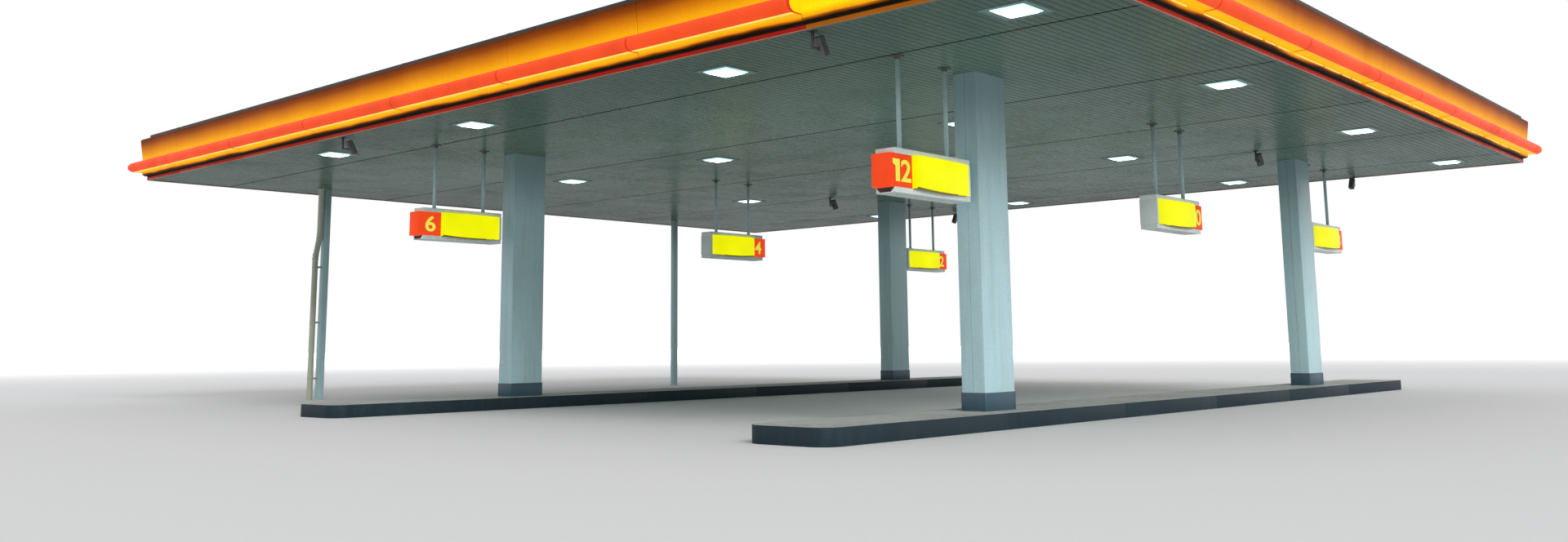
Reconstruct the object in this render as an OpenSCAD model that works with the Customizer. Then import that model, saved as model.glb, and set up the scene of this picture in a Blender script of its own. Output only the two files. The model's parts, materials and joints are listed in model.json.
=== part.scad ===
// Filling station canopy: a steel frame roof on cased columns over two pump islands.
// X runs along the islands, Y across the lanes, Z up. The origin is on the ground
// under the middle of the roof. All sizes are in millimetres.

/* [Roof] */
// Length of the ceiling along the islands
roof_len = 18300; // [16000:100:21000]
// Width of the ceiling across the lanes
roof_wid = 21300; // [20600:100:24000]
// Height of the ceiling above the ground
clear_h = 4570; // [4200:10:5400]
// Thickness of the ceiling sheet
deck_t = 12; // [8:1:20]
// Depth of a ceiling pan with its ribs
pan_t = 76; // [50:1:100]
// Width of a ceiling pan, from rib to rib
pan_w = 440; // [300:10:600]
// Thickness of a rib, where two pans lock together
rib_t = 12; // [8:1:20]
// Length of the bay at each end, from the edge to the first purlin
end_bay = 1690; // [1500:10:1900]

/* [Supports] */
// Distance from the front edge of the ceiling to the front columns
front_reach = 3300; // [2900:50:4000]
// Distance between the two column rows
lane_gap = 9960; // [9000:20:10200]
// Distance from the rear edge of the ceiling to the rear posts
rear_reach = 1000; // [600:20:2000]
// Distance between the two columns of a row
column_gap = 11200; // [10000:50:12000]
// Size of a column casing along the island
column_w = 690; // [500:10:800]
// Size of a column casing across the island
column_d = 360; // [340:10:500]
// Height of the dark band at a column's foot
band_h = 230; // [100:10:400]
// Distance between the two rear posts
post_gap = 10480; // [9500:20:10600]
// How far the pair of rear posts stands off the middle, to the left
post_shift = 470; // [0:10:600]
// Side of a rear post's casing
post_w = 140; // [136:2:180]
// Side of the steel posts inside the column casings
steel_w = 250; // [150:10:280]
// Side of the steel posts inside the rear casings
rear_steel_w = 90; // [70:5:90]
// Wall of the steel posts
steel_t = 12; // [8:1:20]
// Wall of the sheet casings
case_t = 12; // [8:1:20]

/* [Islands] */
// Length of an island
island_len = 19100; // [18000:50:19100]
// Width of an island
island_wid = 1200; // [900:50:1500]
// Height of an island
island_h = 200; // [120:10:260]
// Radius of an island's corners
island_r = 250; // [100:10:400]
// Thickness of the steel kerb form
kerb_t = 12; // [8:1:25]

/* [Steel frame] */
// Depth of a purlin
purlin_h = 200; // [150:10:240]
// Width of a purlin's flanges
purlin_w = 130; // [100:5:160]
// Depth of a main beam
beam_h = 360; // [250:10:400]
// Width of a main beam's flanges
beam_w = 200; // [150:10:280]
// Thickness of the flanges
flange_t = 16; // [10:1:25]
// Thickness of the webs
web_t = 10; // [8:1:20]

/* [Fascia] */
// Height of the fascia face above the ceiling
face_h = 850; // [800:10:1000]
// Height of the fascia's lower edge above the ceiling
lip_z = 90; // [70:5:110]
// How far the foot of the face stands out from the ceiling's edge
face_foot = 85; // [70:5:120]
// How far the top of the face stands out from the ceiling's edge
face_top = 140; // [100:5:200]
// Wall of the face and of the back pan
sheet_t = 10; // [6:1:14]
// Radius of the light bar's nose
bar_r = 100; // [70:5:110]
// How far the light bar stands out from the face
bar_reach = 215; // [160:5:260]
// Height of the light bar's middle above the ceiling
bar_z = 262; // [240:2:300]
// Length of a fascia panel
panel_len = 2750; // [2500:10:2900]
// Length of the panel at the left end of the front and rear
left_panel = 3000; // [2800:10:3200]
// Length of the panel at the right end of the front and rear
right_panel = 3170; // [2900:10:3300]
// Length of the panel at the far end of the left side
far_panel = 1550; // [1200:10:2000]
// Plain stretch at the near end of the left side, with no light bar
bare_len = 3250; // [2900:10:3600]
// Length of the light bar's closing piece in the middle of the front
closing_bar = 2010; // [1800:10:2100]
// Gap between neighbouring panels and between lengths of light bar
joint_gap = 6; // [4:1:12]
// Height of the coping above the face
coping_h = 50; // [30:5:80]
// Width of the coping
coping_w = 110; // [80:5:140]
// How far the coping stops short of the ceiling's corners
coping_in = 230; // [150:10:400]
// Height of the coloured strip at the ceiling's edge
strip_h = 45; // [30:5:60]
// Thickness of the coloured strip
strip_t = 12; // [6:1:20]
// Width of the pale trim under the ceiling's edge
trim_w = 54; // [40:2:80]
// Thickness of the pale trim
trim_t = 10; // [6:1:15]

/* [Lamps] */
// Side of a lamp's glass
lamp_w = 435; // [300:5:480]
// Width of a lamp's rim
rim_w = 85; // [60:5:100]
// How far a lamp's glass hangs under the ceiling
lamp_drop = 25; // [10:1:40]
// Height of a lamp's box above the ceiling sheet
lamp_h = 110; // [90:5:150]
// Distance of a lamp row from its column row
lamp_reach = 2185; // [1800:5:2600]
// Distance of the lamps at the near end from the ceiling's edge
lamp_left = 970; // [800:10:1200]
// Distance of the lamps at the far end from the ceiling's edge
lamp_right = 1150; // [800:10:1400]
// Distance of the inner lamps from the middle
lamp_inner = 2730; // [2000:10:2900]

/* [Number signs] */
// Length of a sign's frame
sign_len = 1600; // [1300:10:1700]
// Width of a sign's frame
sign_wid = 300; // [250:10:400]
// Height of a sign from cap to cap
sign_h = 545; // [450:5:800]
// Height of a sign's underside above the ground
sign_z = 2835; // [2500:5:3100]
// Thickness of a sign's top and bottom caps
sign_cap = 70; // [40:5:90]
// Length of the number end that lies within the frame
number_len = 355; // [300:5:500]
// How far the number end stands out past the frame
number_out = 90; // [60:5:200]
// How far the plain lens bows out
lens_bow = 30; // [10:5:50]
// How far the plain lens stands out from the frame where it meets the number end
lens_out = 80; // [40:5:100]
// How far the plain lens stands out from the frame at its far end
lens_end = 10; // [5:5:40]
// Distance between a sign's two hangers
hanger_gap = 1000; // [700:10:1150]
// Diameter of a hanger pipe
hanger_d = 60; // [40:5:90]
// Distance from the middle of the roof to the front sign at the near end
sign_near = 6890; // [6800:10:7400]
// Distance from the middle of the roof to the signs at the far end
sign_far = 6850; // [6800:10:7400]
// How far the near and middle signs of the middle island hang nearer to the near end
row_stagger = 100; // [0:10:200]

/* [Cameras and drain] */
// Length of a camera's housing
camera_len = 240; // [180:10:270]
// Width of a camera's housing
camera_w = 110; // [80:5:120]
// Distance of the end cameras from the ceiling's edge
camera_edge = 100; // [80:10:300]
// Distance of the inner cameras from the middle
camera_inner = 3630; // [3000:10:3700]
// Diameter of the downpipe
pipe_d = 120; // [80:5:150]
// Sideways step of the downpipe
pipe_step = 80; // [60:5:160]
// Diameter of the blank roundel
roundel_d = 900; // [600:20:1100]

/* [Hidden] */
row_front = -roof_wid / 2 + front_reach;
row_mid = row_front + lane_gap;
row_rear = roof_wid / 2 - rear_reach;
column_x = [-column_gap / 2, column_gap / 2];
post_x = [-post_shift - post_gap / 2, -post_shift + post_gap / 2];
pan_top = clear_h + pan_t;
purlin_top = pan_top + purlin_h;
// Four equal bays between the two end bays, with a purlin at each meeting
bay = (roof_len - 2 * end_bay) / 4;
purlin_x = [for (i = [-2:2]) i * bay];
bay_x = concat([-roof_len / 2], purlin_x, [roof_len / 2]);
// Ribs run along the bays, the last one at the rear edge
rib_y = concat([for (i = [0:floor((roof_wid - 3 * rib_t) / pan_w)]) i * pan_w - roof_wid / 2],
    [roof_wid / 2 - rib_t]);
lamp_x = [lamp_left - roof_len / 2, -lamp_inner, lamp_inner, roof_len / 2 - lamp_right];
lamp_y = [row_front - lamp_reach, row_front + lamp_reach, row_mid - lamp_reach, row_mid + lamp_reach];
lamp_hole = lamp_w + 20;
// Flange of a lamp's box on the ceiling sheet, and the clear space cut in the ribs for it
lamp_flange = lamp_hole + 60;
lamp_clear = lamp_flange + 20;
rim_t = 8;
steel_play = 20;
plate_t = 20;
plate_w = steel_w + 60;
rear_plate_w = post_w - 2 * case_t - 4;
wide = 400;
tall = 1200;
rim_channel_w = 80;
sign_x = [[-sign_near, 0, sign_far], [-sign_near - row_stagger, -row_stagger, sign_far]];
// The middle row of signs hangs a little higher
sign_lift = 70;
lens_h = sign_h - 2 * sign_cap;
// The number end points to the near end on the near signs and away from it on the others
turned = [0, 1, 1];
camera_x = [camera_edge - roof_len / 2, camera_inner, roof_len / 2 - camera_edge];

// A rounded rectangle in plan, made of straight and round stretches
module rounded_plan(l, w, r, h) {
    linear_extrude(h)
        union() {
            square([l - 2 * r, w], center = true);
            square([l, w - 2 * r], center = true);
            for (x = [-1, 1], y = [-1, 1])
                translate([x * (l / 2 - r), y * (w / 2 - r)])
                    circle(r, $fn = 48);
        }
}

// A square tube standing on the XY plane
module tube_post(w, d, t, h) {
    linear_extrude(h)
        difference() {
            square([w, d], center = true);
            square([w - 2 * t, d - 2 * t], center = true);
        }
}

// An I section of length l along X, with its underside at z = 0
module i_section(l, w, h) {
    translate([-l / 2, 0, 0])
        rotate([90, 0, 90])
            linear_extrude(l)
                polygon([
                    [-w / 2, 0], [w / 2, 0], [w / 2, flange_t], [web_t / 2, flange_t],
                    [web_t / 2, h - flange_t], [w / 2, h - flange_t], [w / 2, h], [-w / 2, h],
                    [-w / 2, h - flange_t], [-web_t / 2, h - flange_t], [-web_t / 2, flange_t],
                    [-w / 2, flange_t]
                ]);
}

// Pump islands
module island_kerb(y) {
    color("slategray")
        translate([0, y, 0])
            difference() {
                rounded_plan(island_len, island_wid, island_r, island_h);
                translate([0, 0, -1])
                    rounded_plan(island_len - 2 * kerb_t, island_wid - 2 * kerb_t,
                        island_r - kerb_t, island_h + 2);
            }
}

module island_slab(y) {
    color("lightgray")
        translate([0, y, 0])
            rounded_plan(island_len - 2 * kerb_t, island_wid - 2 * kerb_t,
                island_r - kerb_t, island_h);
}

// Columns: a sheet casing round a square steel post that carries the main beam
module column_casing(x, y) {
    color("gainsboro")
        translate([x, y, island_h])
            tube_post(column_w, column_d, case_t, clear_h - island_h);
}

module column_bands() {
    color("darkslategray")
        for (x = column_x, y = [row_front, row_mid])
            translate([x, y, island_h])
                tube_post(column_w + 2 * case_t, column_d + 2 * case_t, case_t, band_h);
}

// A steel post of the given side from its foot up to the main beam, with a plate at each end
module steel_post(foot, side, plate) {
    translate([0, 0, foot + plate_t])
        tube_post(side, side, steel_t, purlin_top - foot - 2 * plate_t);
    for (z = [foot, purlin_top - plate_t])
        translate([-plate / 2, -plate / 2, z])
            cube([plate, plate, plate_t]);
}

module column_steels() {
    color("dimgray")
        for (x = column_x, y = [row_front, row_mid])
            translate([x, y, 0])
                steel_post(island_h, steel_w, plate_w);
}

module rear_post_casing(x) {
    color("gainsboro")
        translate([x, row_rear, 0])
            tube_post(post_w, post_w, case_t, clear_h);
}

module rear_post_steels() {
    color("dimgray")
        for (x = post_x)
            translate([x, row_rear, 0])
                steel_post(0, rear_steel_w, rear_plate_w);
}

// Downpipe: from a drain with a strainer in the ceiling, close beside the left rear post, by
// a small sideways step to the ground
pipe_x = post_x[0] - post_w / 2 - pipe_d / 2 - 15;
pipe_y = row_rear - post_w / 2 + pipe_d / 2;
drain_w = pipe_d + 20;
drain_play = 10;
step_top = 3520;
step_drop = 450;
step_turn = atan2(pipe_step, step_drop);
bend_r = 450;
bend_reach = bend_r * tan(step_turn / 2);

// An elbow round an axis along Y, from one angle through the pipe's turn
module pipe_bend(from) {
    rotate([90, 0, 0])
        rotate([0, 0, from])
            rotate_extrude(angle = step_turn, $fn = 96)
                translate([bend_r, 0])
                    circle(d = pipe_d, $fn = 32);
}

// A coupling over a joint of the pipe
module pipe_collar() {
    translate([0, 0, -20])
        cylinder(d = pipe_d + 14, h = 40, $fn = 32);
}

module downpipe() {
    flange = 12;
    step_foot = step_top - step_drop;
    slope = norm([pipe_step, step_drop]) - 2 * bend_reach;
    color("gainsboro")
        translate([pipe_x, pipe_y, 0]) {
            for (z = [clear_h - flange, clear_h + deck_t])
                translate([-drain_w / 2, -drain_w / 2, z])
                    cube([drain_w, drain_w, flange]);
            translate([0, 0, clear_h + deck_t + flange])
                cylinder(d1 = pipe_d, d2 = pipe_d / 2, h = 40, $fn = 32);
            translate([0, 0, step_top + bend_reach]) {
                cylinder(d = pipe_d, h = clear_h + deck_t + flange - step_top - bend_reach, $fn = 32);
                pipe_collar();
            }
            translate([-bend_r, 0, step_top + bend_reach])
                pipe_bend(-step_turn);
            translate([0, 0, step_top])
                rotate([0, 180 + step_turn, 0])
                    translate([0, 0, bend_reach]) {
                        cylinder(d = pipe_d, h = slope, $fn = 32);
                        pipe_collar();
                        translate([0, 0, slope])
                            pipe_collar();
                    }
            translate([-pipe_step + bend_r, 0, step_foot - bend_reach])
                pipe_bend(180 - step_turn);
            translate([-pipe_step, 0, 0]) {
                cylinder(d = pipe_d, h = step_foot - bend_reach, $fn = 32);
                translate([0, 0, step_foot - bend_reach])
                    pipe_collar();
            }
        }
}

// Ceiling bays: pans side by side, each a flat sheet with an upstanding rib where it locks
// into the next, and openings for the lamps, the steel posts and the drain
module pan_profile() {
    polygon(concat([[roof_wid / 2, 0], [-roof_wid / 2, 0]],
        [for (y = rib_y, p = [[0, deck_t], [0, pan_t], [rib_t, pan_t], [rib_t, deck_t]])
            [y + p[0], p[1]]]));
}

module square_hole(x, y, side, low, high) {
    translate([x - side / 2, y - side / 2, clear_h + low])
        cube([side, side, high - low]);
}

module ceiling_bay(i) {
    low = bay_x[i];
    high = bay_x[i + 1];
    color("lightslategray")
        difference() {
            translate([low, 0, clear_h])
                rotate([90, 0, 90])
                    linear_extrude(high - low)
                        pan_profile();
            for (x = lamp_x, y = lamp_y)
                if (x > low && x < high) {
                    square_hole(x, y, lamp_hole, -1, deck_t + 1);
                    square_hole(x, y, lamp_clear, deck_t, pan_t + 1);
                }
            for (x = column_x, y = [row_front, row_mid])
                if (x > low && x < high)
                    square_hole(x, y, steel_w + steel_play, -1, pan_t + 1);
            for (x = post_x)
                if (x > low && x < high)
                    square_hole(x, row_rear, rear_steel_w + steel_play, -1, pan_t + 1);
            if (pipe_x > low && pipe_x < high) {
                square_hole(pipe_x, pipe_y, pipe_d + drain_play, -1, deck_t + 1);
                square_hole(pipe_x, pipe_y, drain_w + drain_play, deck_t, pan_t + 1);
            }
        }
}

// Recessed lamps
module at_lamps() {
    for (x = lamp_x, y = lamp_y)
        translate([x, y, clear_h])
            children();
}

module lamp_rims() {
    color("white")
        at_lamps()
            translate([0, 0, -rim_t])
                tube_post(lamp_w + 2 * rim_w, lamp_w + 2 * rim_w, rim_w, rim_t);
}

module lamp_glasses() {
    color("azure")
        at_lamps()
            translate([-lamp_w / 2, -lamp_w / 2, -lamp_drop])
                cube([lamp_w, lamp_w, lamp_drop]);
}

// A lamp's box hangs in the sheet by its flange and carries the gear box on top
module lamp_housings() {
    gear = [240, 160, 70];
    color("silver")
        at_lamps()
            union() {
                translate([-lamp_w / 2, -lamp_w / 2, 0])
                    cube([lamp_w, lamp_w, deck_t + lamp_h]);
                translate([-lamp_flange / 2, -lamp_flange / 2, deck_t])
                    cube([lamp_flange, lamp_flange, rim_t]);
                translate([-gear[0] / 2, -gear[1] / 2, deck_t + lamp_h - 1])
                    cube([gear[0], gear[1], gear[2] + 1]);
            }
}

// Steel frame: main beams on the posts, with web plates over each post, purlins hung under
// them, and channels round the rim
module main_beam(y, seats, side) {
    color("lightsteelblue")
        translate([0, y, purlin_top])
            union() {
                i_section(roof_len - 2 * web_t, beam_w, beam_h);
                for (x = seats, e = [-1, 1])
                    translate([x + e * (side - web_t) / 2 - web_t / 2, -beam_w / 2 + 2, flange_t - 1])
                        cube([web_t, beam_w - 4, beam_h - 2 * flange_t + 2]);
            }
}

module purlins() {
    color("lightsteelblue")
        for (x = purlin_x)
            translate([x, 0, pan_top])
                rotate([0, 0, 90])
                    i_section(roof_wid - 2 * rim_channel_w, purlin_w, purlin_h);
}

// A channel with its back to the fascia, of length l along X
module rim_channel(l) {
    translate([-l / 2, 0, 0])
        rotate([90, 0, 90])
            linear_extrude(l)
                polygon([
                    [0, 0], [rim_channel_w, 0], [rim_channel_w, flange_t], [web_t, flange_t],
                    [web_t, purlin_h - flange_t], [rim_channel_w, purlin_h - flange_t],
                    [rim_channel_w, purlin_h], [0, purlin_h]
                ]);
}

module rim_channels() {
    color("lightsteelblue")
        for (s = [0, 2])
            rotate([0, 0, s * 90]) {
                translate([0, -roof_wid / 2, pan_top])
                    rim_channel(roof_len - 2 * rim_channel_w - 2 * joint_gap);
                rotate([0, 0, 90])
                    translate([0, -roof_len / 2, pan_top])
                        rim_channel(roof_wid);
            }
}

// Fascia. Sides are numbered front, right, rear, left. A side is drawn along X with its
// outward direction along -Y, from profiles in (outward, up), and cut to a mitre.
side_len = [roof_len, roof_wid, roof_len, roof_wid];
side_off = [roof_wid / 2, roof_len / 2, roof_wid / 2, roof_len / 2];

// Places of the joints of each side, from the middle along the side's own X. On the front
// and rear, panels are set out from both ends and a closing piece fills the middle.
from_left = [for (i = [0:2]) -roof_len / 2 + left_panel + i * panel_len];
from_right = [for (i = [0:2]) roof_len / 2 - right_panel - (2 - i) * panel_len];
joints_front = concat(from_left, from_right);
bar_joints_front = concat(from_left, [from_left[2] + closing_bar, from_right[1], from_right[2]]);
lit_panel = (roof_wid - far_panel - bare_len) / 6;
joints_left = [for (i = [0:6]) -roof_wid / 2 + far_panel + i * lit_panel];
joints_right = [for (i = [-3:3]) i * panel_len];
side_joints = [joints_front, joints_right, joints_front, joints_left];
bar_joints = [bar_joints_front, joints_right, bar_joints_front, joints_left];

module side_place(s) {
    rotate([0, 0, s * 90])
        translate([0, -side_off[s], clear_h])
            children();
}

// Keeps what lies within the two mitre planes and between the given ends
module side_run(s) {
    l = side_len[s] - joint_gap;
    intersection() {
        translate([-l / 2 - wide, 0, 0])
            rotate([90, 0, 90])
                linear_extrude(l + 2 * wide)
                    children();
        translate([0, 0, -tall / 2])
            linear_extrude(2 * tall)
                polygon([
                    [-l / 2 + wide, wide], [l / 2 - wide, wide],
                    [l / 2 + wide, -wide], [-l / 2 - wide, -wide]
                ]);
    }
}

module joint_cuts(joints) {
    for (x = joints)
        translate([x - joint_gap / 2, -wide, -tall / 2])
            cube([joint_gap, 2 * wide, 2 * tall]);
}

// Face: from the back pan over the rounded top, down the leaning face, round the lip
top_r = 45;
lip_r = 30;
foot_z = bar_z + bar_r;
function arc(cx, cy, r, a0, a1, n) = [for (i = [0:n]) let (a = a0 + (a1 - a0) * i / n)
    [-(cx + r * cos(a)), cy + r * sin(a)]];
function face_path(t) = concat(
    [[-(sheet_t), face_h - t]],
    arc(face_top - top_r, face_h - top_r, top_r - t, 90, 0, 5),
    [[-(face_foot - t), foot_z]],
    arc(face_foot - lip_r, lip_z + lip_r, lip_r - t, 0, -90, 4),
    [[-(sheet_t), lip_z + t]]);
function reversed(v) = [for (i = [len(v) - 1:-1:0]) v[i]];
module face_profile() {
    polygon(concat(face_path(0), reversed(face_path(sheet_t))));
}

module fascia(s) {
    color("orange")
        side_place(s)
            difference() {
                side_run(s)
                    face_profile();
                joint_cuts(side_joints[s]);
            }
}

// Light bar: a bullnose on the face. The left side's ends short of the plain stretch.
module light_bar_profile() {
    nose = face_foot + bar_reach - bar_r;
    polygon(concat([[-face_foot, bar_z + bar_r]], arc(nose, bar_z, bar_r, 90, -90, 16),
        [[-face_foot, bar_z - bar_r]]));
}

module light_bar(s) {
    color("orangered")
        side_place(s)
            difference() {
                side_run(s)
                    light_bar_profile();
                joint_cuts(bar_joints[s]);
                if (s == 3)
                    translate([side_len[s] / 2 - bare_len, -2 * wide, -tall / 2])
                        cube([bare_len + 2 * wide, 4 * wide, 2 * tall]);
            }
}

// Back pan: closes the light box and carries the lip of the face
module back_pan_profile() {
    polygon([
        [0, strip_h + 5], [-sheet_t, strip_h + 5], [-sheet_t, lip_z - 12],
        [-face_foot + lip_r, lip_z - 12], [-face_foot + lip_r, lip_z],
        [-sheet_t, lip_z], [-sheet_t, face_h], [0, face_h]
    ]);
}

module back_pans() {
    color("dimgray")
        for (s = [0:3])
            side_place(s)
                side_run(s)
                    back_pan_profile();
}

// Coping: a cap that falls a little towards the roof
coping_over = 15;
module copings() {
    color("darkslategray")
        for (s = [0:3])
            side_place(s)
                translate([coping_in - side_len[s] / 2, 0, face_h])
                    rotate([90, 0, 90])
                        linear_extrude(side_len[s] - 2 * coping_in)
                            polygon([
                                [coping_over - coping_w, 0], [coping_over, 0],
                                [coping_over, coping_h - 10], [coping_over - coping_w, coping_h]
                            ]);
}

// Strip and trim along the ceiling's edge
module edge_strips() {
    color("crimson")
        for (s = [0:3])
            side_place(s)
                side_run(s)
                    translate([-strip_t, 0])
                        square([strip_t, strip_h]);
}

module edge_trims() {
    color("mistyrose")
        for (s = [0:3])
            side_place(s)
                side_run(s)
                    translate([-strip_t - 2, -trim_t])
                        square([trim_w, trim_t]);
}

// Blank roundel on the plain stretch of the left side, scribed to the face
roundel_back = 100;
roundel_t = 110;
roundel_z = lip_z + 10 + roundel_d / 2;
module blank_roundel() {
    color("gold")
        side_place(3)
            difference() {
                translate([side_len[3] / 2 - bare_len / 2, -roundel_back, roundel_z])
                    rotate([90, 0, 0])
                        cylinder(d = roundel_d, h = roundel_t, $fn = 96);
                side_run(3)
                    polygon(face_path(0));
            }
}

// Number signs, hung in line over each island. A sign is drawn with its number end at
// the near end of its frame, and turned round where it points the other way.
end_plate = 50;
core_in = 40;
module at_signs() {
    for (r = [0, 1], i = [0:2])
        translate([sign_x[r][i], r == 0 ? row_front : row_mid, sign_z + r * sign_lift])
            rotate([0, 0, 180 * turned[i]])
                children();
}

module sign_frames() {
    color("white")
        at_signs()
            translate([-sign_len / 2, -sign_wid / 2, 0]) {
                for (z = [0, sign_h - sign_cap])
                    translate([0, 0, z])
                        cube([sign_len, sign_wid, sign_cap]);
                translate([number_len, core_in, sign_cap])
                    cube([sign_len - number_len, sign_wid - 2 * core_in, lens_h]);
                translate([sign_len - end_plate, 0, sign_cap])
                    cube([end_plate, sign_wid, lens_h]);
            }
}

// A lens with a flat back and a face that falls from the number end to the far end and
// bows out between them
module bowed_lens(l) {
    n = 12;
    linear_extrude(lens_h)
        polygon(concat([[l, core_in], [0, core_in]],
            [for (i = [0:n]) let (t = i / n)
                [l * t, (lens_out - lens_end) * t - lens_out - 4 * lens_bow * t * (1 - t)]]));
}

module sign_lenses() {
    color("yellow")
        at_signs()
            for (m = [0, 1])
                mirror([0, m, 0])
                    translate([number_len - sign_len / 2, -sign_wid / 2, sign_cap])
                        bowed_lens(sign_len - number_len - end_plate);
}

// Number end: a red box, a little narrower than the frame, that stands out past its caps
number_in = 7;
module sign_number_ends() {
    w = sign_wid / 2 - number_in;
    r = 20;
    color("red")
        at_signs()
            translate([-sign_len / 2, 0, sign_cap])
                linear_extrude(lens_h)
                    polygon([
                        [number_len, -w], [number_len, w], [r - number_out, w],
                        [-number_out, w - r], [-number_out, r - w], [r - number_out, -w]
                    ]);
}

module sign_hangers() {
    plate = 130;
    plate_h = 10;
    collar_h = 55;
    color("gainsboro")
        for (r = [0, 1], x = sign_x[r], h = [-1, 1]) {
            sign_top = sign_z + r * sign_lift + sign_h;
            translate([x + h * hanger_gap / 2, r == 0 ? row_front : row_mid, sign_top]) {
                cylinder(d = hanger_d, h = clear_h - sign_top, $fn = 32);
                translate([0, 0, clear_h - sign_top - collar_h])
                    cylinder(d = hanger_d + 16, h = collar_h, $fn = 32);
                translate([-plate / 2, -plate / 2, clear_h - sign_top - plate_h])
                    cube([plate, plate, plate_h]);
            }
        }
}

// Security cameras: a housing that looks steeply down, held from behind by a foot on a post
camera_y = [row_front - 50, row_mid + 350];
camera_turn = [90, 90, -90];
camera_tilt = 62;
camera_drop = 155;
camera_reach = 150;
module at_cameras() {
    for (i = [0:2], y = camera_y)
        translate([camera_x[i], y, clear_h])
            rotate([0, 0, camera_turn[i]])
                children();
}

module camera_axis() {
    translate([0, -camera_reach, -camera_drop])
        rotate([camera_tilt, 0, 0])
            children();
}

module camera_block() {
    camera_axis()
        cube([camera_w, camera_len, camera_w], center = true);
}

module camera_brackets() {
    plate = 90;
    post = 30;
    foot_z = -camera_drop - 50;
    color("dimgray")
        at_cameras()
            difference() {
                union() {
                    translate([-plate / 2, -plate / 2, -10])
                        cube([plate, plate, 10]);
                    translate([-post / 2, -post / 2, foot_z])
                        cube([post, post, -foot_z - 5]);
                    translate([-post / 2, -camera_reach, foot_z])
                        cube([post, camera_reach, 25]);
                }
                camera_block();
            }
}

module camera_housings() {
    hood = 40;
    wall = 5;
    color("slategray")
        at_cameras()
            difference() {
                camera_block();
                camera_axis()
                    translate([wall - camera_w / 2, -camera_len / 2 - 1, -camera_w / 2 - 1])
                        cube([camera_w - 2 * wall, hood + 1, camera_w - wall + 1]);
            }
}

island_kerb(row_front);  // island_front_kerb
island_slab(row_front);  // island_front_slab
island_kerb(row_mid);  // island_middle_kerb
island_slab(row_mid);  // island_middle_slab
column_casing(column_x[0], row_front);  // column_front_left
column_casing(column_x[1], row_front);  // column_front_right
column_casing(column_x[0], row_mid);  // column_middle_left
column_casing(column_x[1], row_mid);  // column_middle_right
column_bands();
column_steels();
rear_post_casing(post_x[0]);  // rear_post_left
rear_post_casing(post_x[1]);  // rear_post_right
rear_post_steels();
downpipe();
ceiling_bay(0);  // ceiling_bay_1
ceiling_bay(1);  // ceiling_bay_2
ceiling_bay(2);  // ceiling_bay_3
ceiling_bay(3);  // ceiling_bay_4
ceiling_bay(4);  // ceiling_bay_5
ceiling_bay(5);  // ceiling_bay_6
lamp_rims();
lamp_glasses();
lamp_housings();
main_beam(row_front, column_x, steel_w);  // beam_front
main_beam(row_mid, column_x, steel_w);  // beam_middle
main_beam(row_rear, post_x, rear_steel_w);  // beam_rear
purlins();
rim_channels();
fascia(0);  // fascia_front
fascia(1);  // fascia_right
fascia(2);  // fascia_rear
fascia(3);  // fascia_left
light_bar(0);  // light_bar_front
light_bar(1);  // light_bar_right
light_bar(2);  // light_bar_rear
light_bar(3);  // light_bar_left
back_pans();
copings();
edge_strips();
edge_trims();
blank_roundel();
sign_frames();
sign_lenses();
sign_number_ends();
sign_hangers();
camera_brackets();
camera_housings();
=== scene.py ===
import json
import math

import bmesh
import bpy
from mathutils import Matrix, Vector

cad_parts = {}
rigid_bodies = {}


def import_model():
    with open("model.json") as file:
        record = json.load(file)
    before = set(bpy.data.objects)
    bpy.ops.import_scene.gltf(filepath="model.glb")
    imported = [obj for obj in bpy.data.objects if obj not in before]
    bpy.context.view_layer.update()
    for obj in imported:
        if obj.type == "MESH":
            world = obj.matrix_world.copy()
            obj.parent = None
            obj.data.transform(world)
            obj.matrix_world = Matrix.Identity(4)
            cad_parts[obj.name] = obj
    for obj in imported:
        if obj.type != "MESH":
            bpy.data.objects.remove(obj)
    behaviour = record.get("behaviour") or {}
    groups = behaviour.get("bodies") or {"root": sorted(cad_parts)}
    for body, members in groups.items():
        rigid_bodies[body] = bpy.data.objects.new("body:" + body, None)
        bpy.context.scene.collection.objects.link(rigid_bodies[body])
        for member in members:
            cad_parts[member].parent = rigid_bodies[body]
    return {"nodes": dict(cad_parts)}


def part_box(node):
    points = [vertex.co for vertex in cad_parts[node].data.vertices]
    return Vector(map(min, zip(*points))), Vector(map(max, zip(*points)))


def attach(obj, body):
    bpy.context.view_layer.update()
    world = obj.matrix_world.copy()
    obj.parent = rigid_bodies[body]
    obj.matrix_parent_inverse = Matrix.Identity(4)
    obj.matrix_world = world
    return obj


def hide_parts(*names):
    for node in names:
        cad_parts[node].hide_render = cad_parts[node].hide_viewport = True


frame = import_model()
for leftover in [o for o in bpy.data.objects if o.name in ("Cube", "Light", "Camera")]:
    bpy.data.objects.remove(leftover)
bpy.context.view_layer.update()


# View: a wide lens low beside the near corner of the roof, looking across both islands.
# The bearing is from +X. The picture is the lower part of a taller frame, which the shift gives.
view_place = (-19.68, -16.5, 1.036)
view_bearing = 41.94
view_pitch = 8.31
view_roll = -0.57
bpy.ops.object.camera_add()
camera = bpy.context.object
camera.matrix_world = (
    Matrix.Translation(view_place)
    @ Matrix.Rotation(math.radians(view_bearing - 90), 4, "Z")
    @ Matrix.Rotation(math.radians(90 + view_pitch), 4, "X")
    @ Matrix.Rotation(math.radians(view_roll), 4, "Z")
)
camera.data.sensor_width = 36
camera.data.lens = 29.11
camera.data.shift_y = -0.07
camera.data.clip_end = 2000
bpy.context.scene.camera = camera
bpy.context.scene.view_settings.view_transform = "Standard"


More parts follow.
